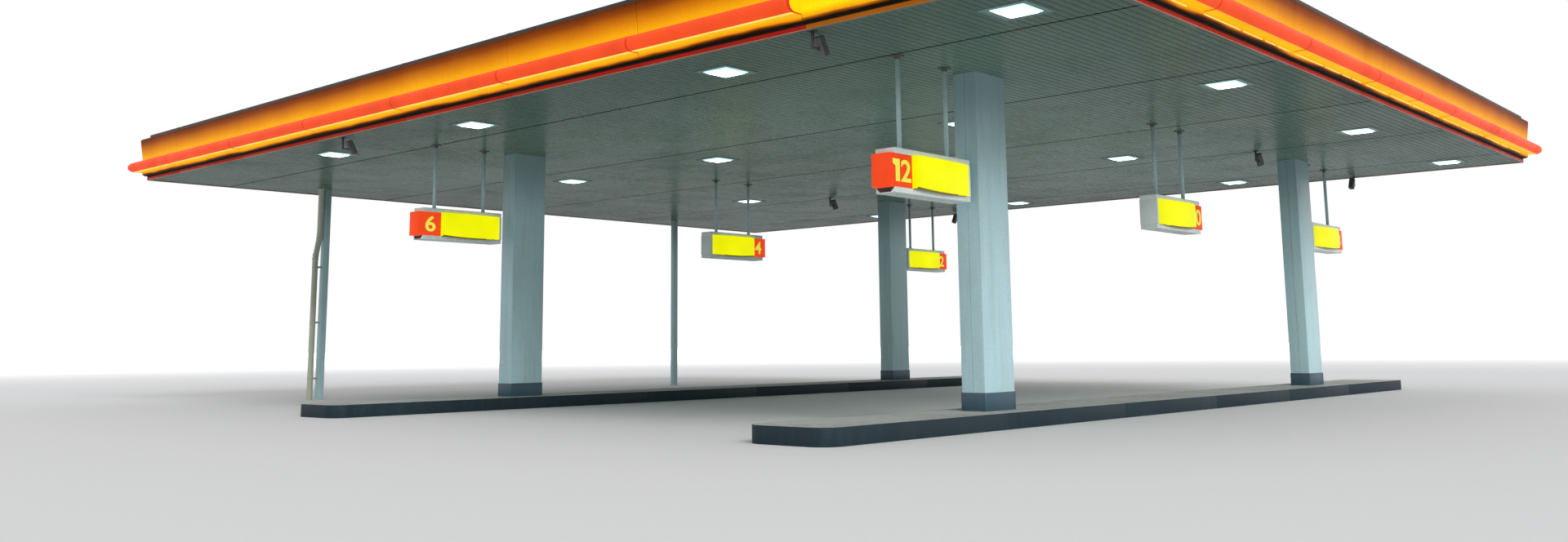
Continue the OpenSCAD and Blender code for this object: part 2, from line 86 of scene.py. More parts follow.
# Studio: a plain pale floor that fades to white far off, an even white surround and one broad
# soft lamp from the front left. The surround lights the object less than it shows to the eye.
floor_side = 1500
floor_colour = (0.72, 0.73, 0.74, 1)
floor_fade = (22.0, 110.0)
white = (1, 1, 1, 1)
surround_light = 0.62
key_strength = 1.9
key_way = (0.34, 0.79, -0.50)
key_softness = 30


def new_material(name, **constants):
    """A material with one shader, and the constants on the shader's own sockets."""
    material = bpy.data.materials.new(name)
    material.use_nodes = True
    shader = material.node_tree.nodes["Principled BSDF"]
    for socket, value in constants.items():
        shader.inputs[socket.replace("_", " ")].default_value = value
    return material


def add_node(tree, kind, inputs={}, **settings):
    """A node in a tree. Its inputs are given numbers, colours or other nodes' outputs."""
    made = tree.nodes.new(kind)
    for name, value in settings.items():
        setattr(made, name, value)
    for name, value in inputs.items():
        if isinstance(value, bpy.types.NodeSocket):
            tree.links.new(value, made.inputs[name])
        else:
            made.inputs[name].default_value = value
    return made


def maths(tree, operation, *values, kind="Math"):
    """A number, or with the kind VectorMath a vector, worked out of others by one operation."""
    return add_node(tree, f"ShaderNode{kind}", dict(enumerate(values)), operation=operation).outputs[0]


def ranged(tree, value, span, onto=(0.0, 1.0), kind="LINEAR"):
    """A number carried from one span onto another, and held at its ends."""
    ends = {"From Min": span[0], "From Max": span[1], "To Min": onto[0], "To Max": onto[1]}
    made = add_node(tree, "ShaderNodeMapRange", {"Value": value, **ends}, interpolation_type=kind)
    return made.outputs[0]


def object_place(tree):
    """A point's place on the object, in metres."""
    return add_node(tree, "ShaderNodeTexCoord").outputs["Object"]


def feed(material, socket, output):
    """Leads a node's output into the material's shader."""
    tree = material.node_tree
    tree.links.new(output, tree.nodes["Principled BSDF"].inputs[socket])


bpy.ops.mesh.primitive_plane_add(size=floor_side)
floor = bpy.context.object
floor.name = "studio_floor"
floor_paper = new_material(
    "studio floor", Base_Color=floor_colour, Roughness=0.9, Specular_IOR_Level=0.1, Emission_Color=white
)
tree = floor_paper.node_tree
away = add_node(tree, "ShaderNodeVectorMath", {0: object_place(tree)}, operation="LENGTH")
faded = ranged(tree, away.outputs["Value"], floor_fade, kind="SMOOTHSTEP")
path = add_node(tree, "ShaderNodeLightPath").outputs
feed(floor_paper, "Emission Strength", maths(tree, "MULTIPLY", faded, path["Is Camera Ray"]))
floor.data.materials.append(floor_paper)

world = bpy.data.worlds.new("studio")
bpy.context.scene.world = world
world.use_nodes = True
tree = world.node_tree
path = add_node(tree, "ShaderNodeLightPath").outputs
seen = maths(tree, "MAXIMUM", path["Is Camera Ray"], path["Is Glossy Ray"])
seen = maths(tree, "MAXIMUM", seen, path["Is Transmission Ray"])
backdrop = tree.nodes["Background"]
backdrop.inputs["Color"].default_value = white
tree.links.new(ranged(tree, seen, (0, 1), (surround_light, 1.0)), backdrop.inputs["Strength"])

bpy.ops.object.light_add(type="SUN")
key = bpy.context.object
key.data.energy = key_strength
key.data.angle = math.radians(key_softness)
key.rotation_euler = Vector(key_way).to_track_quat("-Z", "Y").to_euler()


# Pump islands: a kerb form of painted steel plate with round corners, bought in lengths that
# butt together, set on the ground and filled with concrete struck off level with its top.
X, Y, Z = 0, 1, 2
kerb_colour = (0.014, 0.028, 0.038)
kerb_scuff = (0.032, 0.052, 0.064)
concrete_colour = (0.42, 0.44, 0.42)
concrete_stain = (0.20, 0.20, 0.19)
kerb_wall = 0.012
kerb_round = 0.25
kerb_length = 3.05
kerb_gap = 0.003
saw_joint = 3.2
saw_depth = 0.010


def settle(name):
    """Names a new primitive and puts its place and size in its mesh."""
    bpy.ops.object.transform_apply(location=True, rotation=True, scale=True)
    piece = bpy.context.object
    piece.name = piece.data.name = name
    return piece


def start_block(name, low, high):
    """A new block between two corners, alone in the selection."""
    low, high = Vector(low), Vector(high)
    bpy.ops.object.select_all(action="DESELECT")
    bpy.ops.mesh.primitive_cube_add(size=1, location=(low + high) / 2, scale=high - low)
    return settle(name)


def pick(kind, rule):
    """In edit mode, selects only the faces, edges or corners whose place and way suit a rule."""
    bpy.ops.object.mode_set(mode="EDIT")
    bpy.ops.mesh.select_mode(type=kind)
    bpy.ops.mesh.select_all(action="DESELECT")
    shape = bmesh.from_edit_mesh(bpy.context.object.data)
    for part in {"FACE": shape.faces, "EDGE": shape.edges, "VERT": shape.verts}[kind]:
        if kind == "FACE":
            at, way = part.calc_center_median(), part.normal
        elif kind == "VERT":
            at, way = part.co, part.normal
        else:
            a, b = (corner.co for corner in part.verts)
            at, way = (a + b) / 2, (b - a).normalized()
        part.select_set(rule(at, way))
    shape.select_flush_mode()


def along(axis, where=lambda at: True):
    """A rule for edges that run along an axis, or faces that look either way along it."""
    return lambda at, way: abs(way[axis]) > 0.99 and where(at)


def round_off(rule, radius, steps=3):
    """Rounds the edges that a rule suits."""
    pick("EDGE", rule)
    bpy.ops.mesh.bevel(offset=radius, segments=steps, affect="EDGES")
    bpy.ops.object.mode_set(mode="OBJECT")


def take_away(rule):
    """Deletes the faces that a rule suits."""
    pick("FACE", rule)
    bpy.ops.mesh.delete(type="FACE")
    bpy.ops.object.mode_set(mode="OBJECT")


def shift_part(kind, rule, by):
    """Moves the faces, edges or corners that a rule suits."""
    pick(kind, rule)
    bpy.ops.transform.translate(value=by)
    bpy.ops.object.mode_set(mode="OBJECT")


def cut(place, way, drop=None, closed=False):
    """Cuts the piece through by a plane. drop says which side goes, if one does, and closed
    says that the cut is covered with a face."""
    bpy.ops.object.mode_set(mode="EDIT")
    bpy.ops.mesh.select_all(action="SELECT")
    bpy.ops.mesh.bisect(
        plane_co=place, plane_no=way, use_fill=closed,
        clear_outer=drop == "outer", clear_inner=drop == "inner",
    )
    bpy.ops.object.mode_set(mode="OBJECT")


def part_shell(places, gap, axis):
    """Cuts a sheet shell apart at places along an axis, with a gap at each."""
    way = Vector((0, 0, 0))
    way[axis] = 1
    for place in places:
        for end in (-gap / 2, gap / 2):
            cut(way * (place + end), way)
        take_away(lambda at, way: abs(at[axis] - place) < gap / 2)


def alone(piece):
    """Leaves only this piece selected and active."""
    bpy.ops.object.select_all(action="DESELECT")
    bpy.context.view_layer.objects.active = piece
    piece.select_set(True)


def finish_with(piece, kind, **settings):
    """Adds a modifier to a piece and applies it."""
    alone(piece)
    modifier = piece.modifiers.new(kind.lower(), kind)
    for name, value in settings.items():
        setattr(modifier, name, value)
    bpy.ops.object.modifier_apply(modifier=modifier.name)


def thicken(piece, wall):
    """Gives a shell its wall, inward."""
    finish_with(piece, "SOLIDIFY", thickness=wall, offset=-1)


def ease(piece, width, steps=1):
    """Takes the sharpness off a piece's edges."""
    finish_with(
        piece, "BEVEL", width=width, segments=steps, limit_method="ANGLE", angle_limit=math.radians(40)
    )


def put_on(piece, material, slot, *stands_for):
    """Gives a finished piece its material and smooth shading, puts it on the root body and hides the nodes
    that it stands for. The slot is not used.
    """
    piece.data.materials.clear()
    piece.data.materials.append(material)
    alone(piece)
    bpy.ops.object.shade_smooth_by_angle(angle=math.radians(35))
    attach(piece, "root")
    if stands_for:
        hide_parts(*stands_for)


def noise(tree, scale, detail, at=None):
    """Soft unevenness of so many turns a metre."""
    at = object_place(tree) if at is None else at
    return add_node(tree, "ShaderNodeTexNoise", {"Vector": at, "Scale": scale, "Detail": detail}).outputs[0]


def scaled(tree, colour, share):
    """A colour made lighter or darker by a share."""
    return add_node(tree, "ShaderNodeVectorMath", {0: colour, "Scale": share}, operation="SCALE").outputs[0]


def blended(tree, share, first, second):
    """A colour between two others."""
    return add_node(tree, "ShaderNodeMix", {0: share, 6: first, 7: second}, data_type="RGBA").outputs[2]


def build_weathering():
    """Blotches, runs and grain over a surface, in metres, shared by every sheet and paint."""
    group = bpy.data.node_groups.new("weathering", "ShaderNodeTree")
    for way, name, kind in (
        ("INPUT", "Colour", "Color"), ("INPUT", "Soil", "Color"), ("INPUT", "Amount", "Float"),
        ("INPUT", "Gloss", "Float"), ("INPUT", "Grain", "Float"), ("OUTPUT", "Colour", "Color"),
        ("OUTPUT", "Roughness", "Float"), ("OUTPUT", "Height", "Float"),
    ):
        group.interface.new_socket(name, in_out=way, socket_type=f"NodeSocket{kind}")
    given = add_node(group, "NodeGroupInput").outputs
    runs_at = add_node(group, "ShaderNodeMapping", {"Vector": object_place(group), "Scale": (9, 9, 0.7)})
    blotches = noise(group, 0.8, 5.0)
    runs = noise(group, 1.0, 4.0, runs_at.outputs[0])
    grain = noise(group, given["Grain"], 3.0)
    soiled = ranged(group, maths(group, "ADD", blotches, runs), (0.85, 1.35), kind="SMOOTHSTEP")
    share = maths(group, "MULTIPLY", soiled, given["Amount"])
    speck = ranged(group, grain, (0.3, 0.7), (0.94, 1.06))
    toned = blended(group, share, given["Colour"], given["Soil"])
    add_node(group, "NodeGroupOutput", {
        "Colour": scaled(group, toned, speck),
        "Roughness": maths(group, "MULTIPLY_ADD", share, 0.3, given["Gloss"]),
        "Height": grain,
    })
    return group


weathering = build_weathering()


def weathered(name, colour, soil, amount, gloss, grain=40.0, relief=0.0004, **constants):
    """A finish of one colour that weather and use have soiled in blotches and runs."""
    material = new_material(name, **constants)
    tree = material.node_tree
    worn = add_node(tree, "ShaderNodeGroup", {
        "Colour": (*colour, 1), "Soil": (*soil, 1), "Amount": amount, "Gloss": gloss, "Grain": grain,
    }, node_tree=weathering).outputs
    bump = add_node(tree, "ShaderNodeBump", {"Height": worn["Height"], "Distance": relief, "Strength": 1.0})
    feed(material, "Base Color", worn["Colour"])
    feed(material, "Roughness", worn["Roughness"])
    feed(material, "Normal", bump.outputs[0])
    return material


def sawn(places, top, width):
    """A rule for the edges across the top of the concrete at its saw joints."""
    return along(
        Y, lambda at: abs(at.z - top) < 1e-4 and min(abs(at.x - place) for place in places) < width
    )


kerb_paint = weathered("kerb paint", kerb_colour, kerb_scuff, 0.5, 0.5, Specular_IOR_Level=0.15)
concrete = weathered(
    "island concrete", concrete_colour, concrete_stain, 0.6, 0.75, grain=120.0, relief=0.002
)
for row in ("front", "middle"):
    low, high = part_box(f"island_{row}_kerb")
    middle = (low + high) / 2
    kerb = start_block(f"island_{row}_kerb_form", low, high)
    take_away(along(Z))
    round_off(along(Z), kerb_round, 10)
    lengths = math.floor((high.x - low.x) / kerb_length)
    part_shell([middle.x + (i - lengths / 2) * kerb_length for i in range(1, lengths)], kerb_gap, X)
    thicken(kerb, kerb_wall)
    ease(kerb, 0.003, 2)
    put_on(kerb, kerb_paint, "kerb_steel", f"island_{row}_kerb")
    wall = Vector((kerb_wall, kerb_wall, 0))
    slab = start_block(f"island_{row}_fill", low + wall, high - wall)
    round_off(along(Z), kerb_round - kerb_wall, 10)
    places = [middle.x + i * saw_joint for i in (-2, -1, 0, 1, 2)]
    for place in places:
        cut((place, 0, 0), (1, 0, 0))
    round_off(sawn(places, high.z, 1e-4), 0.008, 2)
    shift_part("EDGE", sawn(places, high.z, 1e-3), (0, 0, -saw_depth))
    put_on(slab, concrete, "island_concrete", f"island_{row}_slab")


# Columns and rear posts: two folded half casings of coated steel sheet round each steel post,
# pop riveted together down the narrow sides, with a foot band of thicker sheet on the columns.
row_front = -7.35
row_middle = 2.61
column_xs = (-5.6, 5.6)
casing_colour = (0.455, 0.665, 0.71)
casing_soil = (0.27, 0.36, 0.36)
casing_wall = 0.008
casing_round = 0.014
casing_gap = 0.004
rivet_first = 0.35
rivet_last = 0.25
rivet_pitch = 0.45
rivet_row = 0.022
band_colour = (0.030, 0.078, 0.115)
band_soil = (0.075, 0.115, 0.135)
band_half = Vector((0.357, 0.192, 0))
band_wall = 0.012
move = Matrix.Translation


def join_to(piece, *others):
    """Joins other finished shapes into a piece."""
    alone(piece)
    for other in others:
        other.select_set(True)
    bpy.ops.object.join()


def spread(piece, places):
    """Copies a piece to places, each copy with its own mesh, and joins the copies into it."""
    first = piece.data.copy()
    piece.data.transform(places[0])
    twins = []
    for place in places[1:]:
        twin = piece.copy()
        twin.data = first.copy()
        twin.data.transform(place)
        bpy.context.collection.objects.link(twin)
        twins.append(twin)
    join_to(piece, *twins)


def draw_rings(rings):
    """Draws the selected ring of edges on, from the first (radius, height) through the rest."""
    radius, height = rings[0]
    for next_radius, next_height in rings[1:]:
        bpy.ops.mesh.extrude_edges_move(TRANSFORM_OT_translate={"value": (0, 0, next_height - height)})
        share = next_radius / radius
        bpy.ops.transform.resize(value=(share, share, 1), center_override=(0, 0, next_height))
        radius, height = next_radius, next_height


def face_outward():
    """Turns all faces of the piece outward and leaves edit mode."""
    bpy.ops.mesh.select_all(action="SELECT")
    bpy.ops.mesh.normals_make_consistent(inside=False)
    bpy.ops.object.mode_set(mode="OBJECT")


def start_turned(name, rings, sides=24):
    """A round piece about the upright axis, drawn up ring by ring from (radius, height)."""
    bpy.ops.object.select_all(action="DESELECT")
    radius, height = rings[0]
    bpy.ops.mesh.primitive_circle_add(
        vertices=sides, radius=radius, location=(0, 0, height), fill_type="NGON"
    )
    piece = settle(name)
    bpy.ops.object.mode_set(mode="EDIT")
    bpy.ops.mesh.select_mode(type="EDGE")
    bpy.ops.mesh.select_all(action="SELECT")
    draw_rings(rings)
    bpy.ops.mesh.edge_face_add()
    face_outward()
    return piece


def facing(axis, sign):
    """Turns a piece that points up to point along X or Y."""
    turn = math.radians(90) * sign
    return Matrix.Rotation(turn, 4, "Y") if axis == X else Matrix.Rotation(-turn, 4, "X")


def fed(material, socket):
    """What leads into a socket of the material's shader so far."""
    return material.node_tree.nodes["Principled BSDF"].inputs[socket].links[0].from_socket


def place_parts(tree):
    """A point's place on the object as X, Y and Z."""
    return add_node(tree, "ShaderNodeSeparateXYZ", {0: object_place(tree)}).outputs


def dull_upward(material, low, high, share):
    """Darkens a paint towards the ceiling: painted shade under the roof."""
    tree = material.node_tree
    upward_shade = ranged(tree, place_parts(tree)["Z"], (low, high), (1.0, share), "SMOOTHSTEP")
    feed(material, "Base Color", scaled(tree, fed(material, "Base Color"), upward_shade))


casing_paint = weathered(
    "casing paint", casing_colour, casing_soil, 0.3, 0.30, relief=0.0002, Specular_IOR_Level=0.3
)
# The casings darken towards the ceiling: painted shade.
dull_upward(casing_paint, 3.3, 4.4, 0.58)
quarters = ("front_left", "front_right", "middle_left", "middle_right")
casings = {f"column_{quarter}": f"column_casing_{quarter}" for quarter in quarters}
casings.update({f"rear_post_{hand}": f"post_casing_{hand}" for hand in ("left", "right")})
for node, name in casings.items():
    low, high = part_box(node)
    middle = (low + high) / 2
    casing = start_block(name, low, high)
    take_away(along(Z))
    round_off(along(Z), casing_round, 4)
    part_shell([middle.y], casing_gap, Y)
    thicken(casing, casing_wall)
    count = int((high.z - low.z - rivet_first - rivet_last) / rivet_pitch) + 1
    heights = [low.z + rivet_first + i * rivet_pitch for i in range(count)]
    rivets = start_turned("rivets", [(0.006, 0), (0.0052, 0.0018), (0.0025, 0.003)], 8)
    spread(rivets, [
        move((side, middle.y + step, z)) @ facing(X, turn)
        for side, turn in ((low.x, -1), (high.x, 1)) for step in (-rivet_row, rivet_row) for z in heights
    ])
    join_to(casing, rivets)
    put_on(casing, casing_paint, "white_sheet", node)

low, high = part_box("column_bands")
band = start_block("column_foot_bands", -band_half, band_half + Vector((0, 0, high.z - low.z)))
take_away(along(Z))
round_off(along(Z), casing_round + 0.01, 4)
thicken(band, band_wall)
ease(band, 0.003, 2)
bolts = start_turned("band_screws", [(0.011, 0), (0.011, 0.003), (0.007, 0.006)], 10)
spread(bolts, [
    move((0.31 * x, side * band_half.y, z)) @ facing(Y, side)
    for x in (-1, 1) for side in (-1, 1) for z in (0.05, 0.18)
])
join_to(band, bolts)
spread(band, [move((x, y, low.z)) for x in column_xs for y in (row_front, row_middle)])
put_on(
    band, weathered("foot band paint", band_colour, band_soil, 0.6, 0.4), "slate_band", "column_bands"
)


def finish_node(name, material):
    """Gives a CAD node that stays a finish of its own."""
    part = frame["nodes"][name]
    if hasattr(part, "data"):
        part.data.materials.clear()
        part.data.materials.append(material)


primer = weathered("steel primer", (0.16, 0.15, 0.14), (0.20, 0.09, 0.045), 0.6, 0.6)
for name in ("column_steels", "rear_post_steels"):
    finish_node(name, primer)


# Downpipe: round coated steel pipe with pressed elbows and sleeve couplings, from the drain
# in the ceiling to the ground, held to the left rear post by split straps.
strap_heights = (0.45, 1.65, 2.85)
strap_half = 0.02
pipe_radius = 0.060
strap_inner = pipe_radius + 0.0005
strap_outer = pipe_radius + 0.005
pipe_place = (-5.935, 9.64)
post_side = 0.155
lug_half = 0.004


def soft_block(name, low, high, width, steps=1):
    """A block with its edges eased."""
    piece = start_block(name, low, high)
    ease(piece, width, steps)
    return piece


strap = start_turned("downpipe_straps", [
    (strap_inner, -strap_half), (strap_outer, -strap_half), (strap_outer, strap_half),
    (strap_inner, strap_half),
], 32)
lugs = soft_block(
    "strap_lugs", (pipe_radius, -lug_half, -strap_half), (post_side, lug_half, strap_half), 0.001
)
bolts = start_turned("strap_bolts", [(0.008, 0), (0.008, 0.006), (0.005, 0.0075)], 6)
spread(bolts, [move((0.09, side * lug_half, 0)) @ facing(Y, side) for side in (-1, 1)])
join_to(strap, lugs, bolts)
spread(strap, [move((*pipe_place, z)) for z in strap_heights])
pipe_paint = weathered("pipe paint", (0.52, 0.56, 0.46), (0.27, 0.28, 0.22), 0.5, 0.4)
put_on(strap, pipe_paint, "white_sheet")
finish_node("downpipe", pipe_paint)


# Ceiling: rolled planks of coated steel sheet clipped side by side in bays between the
# purlins, with an open joint between planks and a folded standing seam over every fourth.
plank_pitch = 0.110
plank_joint = 0.011
plank_face = plank_pitch - plank_joint
joint_depth = 0.0035
crown = 0.0015
crown_shape = ((0.15, 0.7), (0.5, 1.0), (0.85, 0.7))
sheet_wall = 0.0012
seam_pitch = 0.44
seam_height = 0.076
seam_clear = 0.001
seam_fold = 0.010
seam_turn = 0.016
bay_gap = 0.018
bay_pitch = 3.73
ceiling = 4.57
ceiling_half = Vector((9.15, 10.65, 0))
bay_edges = (-9.15, -7.46, -3.73, 0, 3.73, 7.46, 9.15)
purlin_xs = bay_edges[1:-1]
row_rear = 9.65
lamp_xs = (-8.18, -2.73, 2.73, 8.0)
lamp_ys = (-9.535, -5.165, 0.425, 4.795)
post_xs = (-5.71, 4.77)
# The ceiling's colour is darker than its off-white sheet: painted shade under the roof.
ceiling_colour_with_shade = (0.160, 0.252, 0.216)
ceiling_soil = (0.12, 0.17, 0.13)

# An opening is its place, its side in the planks and its side in the seams above them.
ceiling_holes = [(x, y, 0.455, 0.535) for x in lamp_xs for y in lamp_ys]
ceiling_holes += [(x, y, 0.27, 0.27) for x in column_xs for y in (row_front, row_middle)]
ceiling_holes += [(x, row_rear, 0.11, 0.11) for x in post_xs] + [(-5.855, 9.64, 0.13, 0.15)]


def start_strip(name, low, high):
    """A flat strip in the XY plane between two corners, facing down."""
    bpy.ops.object.select_all(action="DESELECT")
    low, high = Vector(low), Vector(high)
    bpy.ops.mesh.primitive_plane_add(size=1, location=(low + high) / 2, rotation=(math.pi, 0, 0))
    bpy.ops.transform.resize(value=(high.x - low.x, high.y - low.y, 1))
    return settle(name)


def draw_out(rule, *steps):
    """Draws the edges that a rule suits out along several steps, one after the other."""
    pick("EDGE", rule)
    for step in steps:
        bpy.ops.mesh.extrude_edges_move(TRANSFORM_OT_translate={"value": step})
    bpy.ops.object.mode_set(mode="OBJECT")


def open_hole(x, y, side):
    """Cuts a square opening through a sheet."""
    half = side / 2
    for place in (x - half, x + half):
        cut((place, 0, 0), (1, 0, 0))
    for place in (y - half, y + half):
        cut((0, place, 0), (0, 1, 0))
    take_away(lambda at, way: abs(at.x - x) < half and abs(at.y - y) < half)


def repeat(piece, pitch, count, **settings):
    """Repeats a piece along Y."""
    finish_with(
        piece, "ARRAY", count=count, use_relative_offset=False, use_constant_offset=True,
        constant_offset_displace=(0, pitch, 0), **settings,
    )


def ceiling_finish():
    """Satin paint whose tone and gloss differ a little from plank to plank. Its colour is painted
    shade: darker than the sheet's own off-white, darker still along the plank joints and towards
    the roof's edge, and painted light makes it lighter in the middle of the roof."""
    material = weathered(
        "ceiling paint", ceiling_colour_with_shade, ceiling_soil, 0.3, 0.24, grain=55.0, relief=0.00003,
        Specular_IOR_Level=0.014,
    )
    tree = material.node_tree
    parts = place_parts(tree)
    planks = maths(tree, "DIVIDE", maths(tree, "ADD", parts["Y"], ceiling_half.y), plank_pitch)
    bays = maths(tree, "DIVIDE", parts["X"], bay_pitch)
    which = add_node(
        tree, "ShaderNodeCombineXYZ", {"X": maths(tree, "FLOOR", planks), "Y": maths(tree, "FLOOR", bays)}
    )
    draw = add_node(
        tree, "ShaderNodeTexWhiteNoise", {"Vector": which.outputs[0]}, noise_dimensions="2D"
    ).outputs["Value"]
    across = maths(tree, "SUBTRACT", maths(tree, "FRACT", planks), plank_face / plank_pitch / 2)
    from_middle = maths(tree, "ABSOLUTE", across)
    span = (ceiling_half.x, ceiling_half.y, 1)
    reach = maths(tree, "DIVIDE", object_place(tree), span, kind="VectorMath")
    reach = maths(tree, "ABSOLUTE", reach, kind="VectorMath")
    reach = add_node(tree, "ShaderNodeSeparateXYZ", {0: reach}).outputs
    reach = maths(tree, "MAXIMUM", reach["X"], reach["Y"])
    tone = ranged(tree, draw, (0, 1), (0.97, 1.03))
    # Painted shade along the plank joints.
    tone = maths(tree, "MULTIPLY", tone, ranged(tree, from_middle, (0.36, 0.46), (1.0, 0.86)))
    # Painted shade towards the roof's edge, and painted light in its middle.
    tone = maths(tree, "MULTIPLY", tone, ranged(tree, reach, (0.45, 1.0), (1.27, 0.66), "SMOOTHSTEP"))
    gloss = maths(tree, "ADD", fed(material, "Roughness"), ranged(tree, draw, (0, 1), (-0.02, 0.02)))
    feed(material, "Base Color", scaled(tree, fed(material, "Base Color"), tone))
    feed(material, "Roughness", gloss)
    return material


ceiling_paint = ceiling_finish()
near = -ceiling_half.y
far = near + plank_face
edge_z = ceiling + crown
seam_z = edge_z + joint_depth + seam_clear
for i in range(6):
    low_x = bay_edges[i] + bay_gap
    high_x = bay_edges[i + 1] - bay_gap
    planks = start_strip(f"ceiling_planks_{i + 1}", (low_x, near, edge_z), (high_x, far, edge_z))
    for share, drop in crown_shape:
        cut((0, near + plank_face * share, 0), (0, 1, 0))
    for share, drop in crown_shape:
        place = near + plank_face * share
        shift_part("EDGE", along(X, lambda at: abs(at.y - place) < 1e-4), (0, 0, -crown * drop))
    draw_out(
        along(X, lambda at: abs(at.y - far) < 1e-4),
        (0, 0, joint_depth), (0, plank_joint, 0), (0, 0, -joint_depth),
    )
    repeat(
        planks, plank_pitch, math.ceil(2 * ceiling_half.y / plank_pitch),
        use_merge_vertices=True, merge_threshold=0.0002,
    )
    cut((0, ceiling_half.y, 0), (0, 1, 0), "outer")
    seams = start_strip(
        f"seams_{i + 1}", (low_x, near + seam_clear, seam_z),
        (high_x, near + seam_clear + seam_fold, seam_z),
    )
    draw_out(
        along(X, lambda at: at.y < near + seam_fold / 2),
        (0, 0, ceiling + seam_height - seam_z), (0, seam_fold, 0), (0, 0, -seam_turn),
    )
    repeat(seams, seam_pitch, int(2 * ceiling_half.y / seam_pitch) + 1)
    for x, y, side, clear in ceiling_holes:
        if low_x < x < high_x:
            for part, width in ((planks, side), (seams, clear)):
                alone(part)
                open_hole(x, y, width)
    thicken(planks, sheet_wall)
    finish_with(seams, "SOLIDIFY", thickness=sheet_wall, offset=0)
    join_to(planks, seams)
    put_on(planks, ceiling_paint, "ceiling_sheet", f"ceiling_bay_{i + 1}")

# Dark T strips fill the joints between the bays from above, flush with the sheet. Their near-black paint,
# which barely reflects, is painted shadow of an open joint.
strip_end = ceiling_half.y - 0.012
fillers = []
for x in purlin_xs:
    for half, low_z, high_z in ((bay_gap - 0.0003, 0.0002, 0.013), (0.025, 0.013, 0.0145)):
        fillers.append(soft_block(
            "ceiling_joint_strips", (x - half, -strip_end, ceiling + low_z),
            (x + half, strip_end, ceiling + high_z), 0.0001,
        ))
join_to(*fillers)
# Near-black, barely reflecting paint: painted shadow in the joints.
joint_shadow_paint = weathered(
    "joint strip painted shadow", (0.010, 0.012, 0.011), (0.02, 0.02, 0.018), 0.6, 0.7, Specular_IOR_Level=0.01
)
put_on(fillers[0], joint_shadow_paint, "ceiling_sheet")


# Recessed lamps: a square trim plate with a lip lies under the ceiling sheet and holds a pressed
# glass that hangs a little below it. The sheet metal housing above carries the gear box.
lamp_places = [move((x, y, ceiling)) for x in lamp_xs for y in lamp_ys]
rim_half = 0.3025
glass_half = 0.2175
rim_depth = 0.008
rim_inner = rim_half - 0.010
rim_opening = glass_half + 0.001
plate_depth = 0.002
glass_drop = 0.018
glass_foot = 0.180
housing_top = 0.122
flange_half = 0.2575
gear_top = 0.185
lid_top = 0.192


def looking(axis, sign):
    """A rule for faces that look one way along an axis."""
    return lambda at, way: way[axis] * sign > 0.99


def inset(rule, *steps):
    """Insets the faces that a rule suits by several steps of (width, depth)."""
    pick("FACE", rule)
    for width, depth in steps:
        bpy.ops.mesh.inset(thickness=width, depth=depth)
    bpy.ops.object.mode_set(mode="OBJECT")


def corners(x, y, z):
    """The four places at plus and minus x and y."""
    return [move((x * i, y * j, z)) for i in (-1, 1) for j in (-1, 1)]


def tint(piece, material, rule):
    """Gives the faces of a finished piece that a rule suits another finish."""
    piece.data.materials.append(material)
    last = len(piece.data.materials) - 1
    for face in piece.data.polygons:
        if rule(face.center, face.normal):
            face.material_index = last


rim = start_block("lamp_frames", (-rim_half, -rim_half, -rim_depth), (rim_half, rim_half, 0))
take_away(along(Z))
round_off(along(Z), 0.008, 2)
pick("EDGE", lambda at, way: abs(way.z) < 0.01 and at.z < -rim_depth / 2)
draw_rings([
    (rim_half, -rim_depth), (rim_inner, -rim_depth), (rim_inner, -plate_depth),
    (rim_opening, -plate_depth), (rim_opening, 0),
])
face_outward()
ease(rim, 0.0012)
screws = start_turned("lamp_screws", [(0.006, 0), (0.005, 0.0015), (0.002, 0.002)], 8)
under = Matrix.Rotation(math.pi, 4, "X")
spread(screws, [place @ under for place in corners(0.27, 0.27, -plate_depth)])
catch = soft_block("lamp_catch", (0.240, -0.05, -plate_depth - 0.005), (0.262, 0.05, -plate_depth), 0.0015)
join_to(rim, screws, catch)
spread(rim, lamp_places)
# The trim plate's cyan paint is a painted halo of the lamp round the glass.
rim_paint = weathered("lamp frame paint with painted halo", (0.17, 0.27, 0.25), (0.13, 0.20, 0.18), 0.4, 0.32)
put_on(rim, rim_paint, "lamp_rim", "lamp_rims")

glass = start_block(
    "lamp_glass_panes", (-glass_half, -glass_half, -glass_drop), (glass_half, glass_half, -0.001)
)
pick("FACE", looking(Z, -1))
bpy.ops.transform.resize(value=(glass_foot / glass_half, glass_foot / glass_half, 1))
inset(looking(Z, -1), (0.012, 0), (0.006, -0.003), (0.06, 0.002))
round_off(
    lambda at, way: abs(way.z) > 0.25 and min(abs(at.x), abs(at.y)) > (glass_foot + glass_half) / 2 - 0.001,
    0.022, 4,
)
spread(glass, lamp_places)


def lit(name, colour, base_share, glow_share, gloss=0.3, relief=0.0003, grain=60.0):
    """Acrylic of one colour with tubes behind it, faintly uneven as the tubes are. Some pieces take it as a
    glowing painted reflection or highlight.
    """
    base, soil = (tuple(c * share for c in colour) for share in (base_share, base_share * 0.6))
    material = weathered(
        name, base, soil, 0.4, gloss, grain=grain, relief=relief,
        Specular_IOR_Level=0.05, Emission_Strength=1.0,
    )
    tree = material.node_tree
    level = ranged(tree, noise(tree, 1.7, 2.0), (0.3, 0.7), (glow_share * 0.9, glow_share * 1.1))
    feed(material, "Emission Color", scaled(tree, colour, level))
    return material


lamp_light = lit("lamp light", (0.90, 1.0, 0.98), 0.8, 5.0, gloss=0.15, relief=0.002, grain=180.0)
# The glass's sloping sides glow dimmer and cyan: a painted halo.
lamp_side_halo = lit("lamp side painted halo", (0.55, 0.94, 1.0), 0.5, 1.25, gloss=0.15, relief=0.002, grain=180.0)
put_on(glass, lamp_light, "lamp_glass", "lamp_glasses")
tint(glass, lamp_side_halo, lambda at, way: at.z > ceiling - 0.7 * glass_drop)

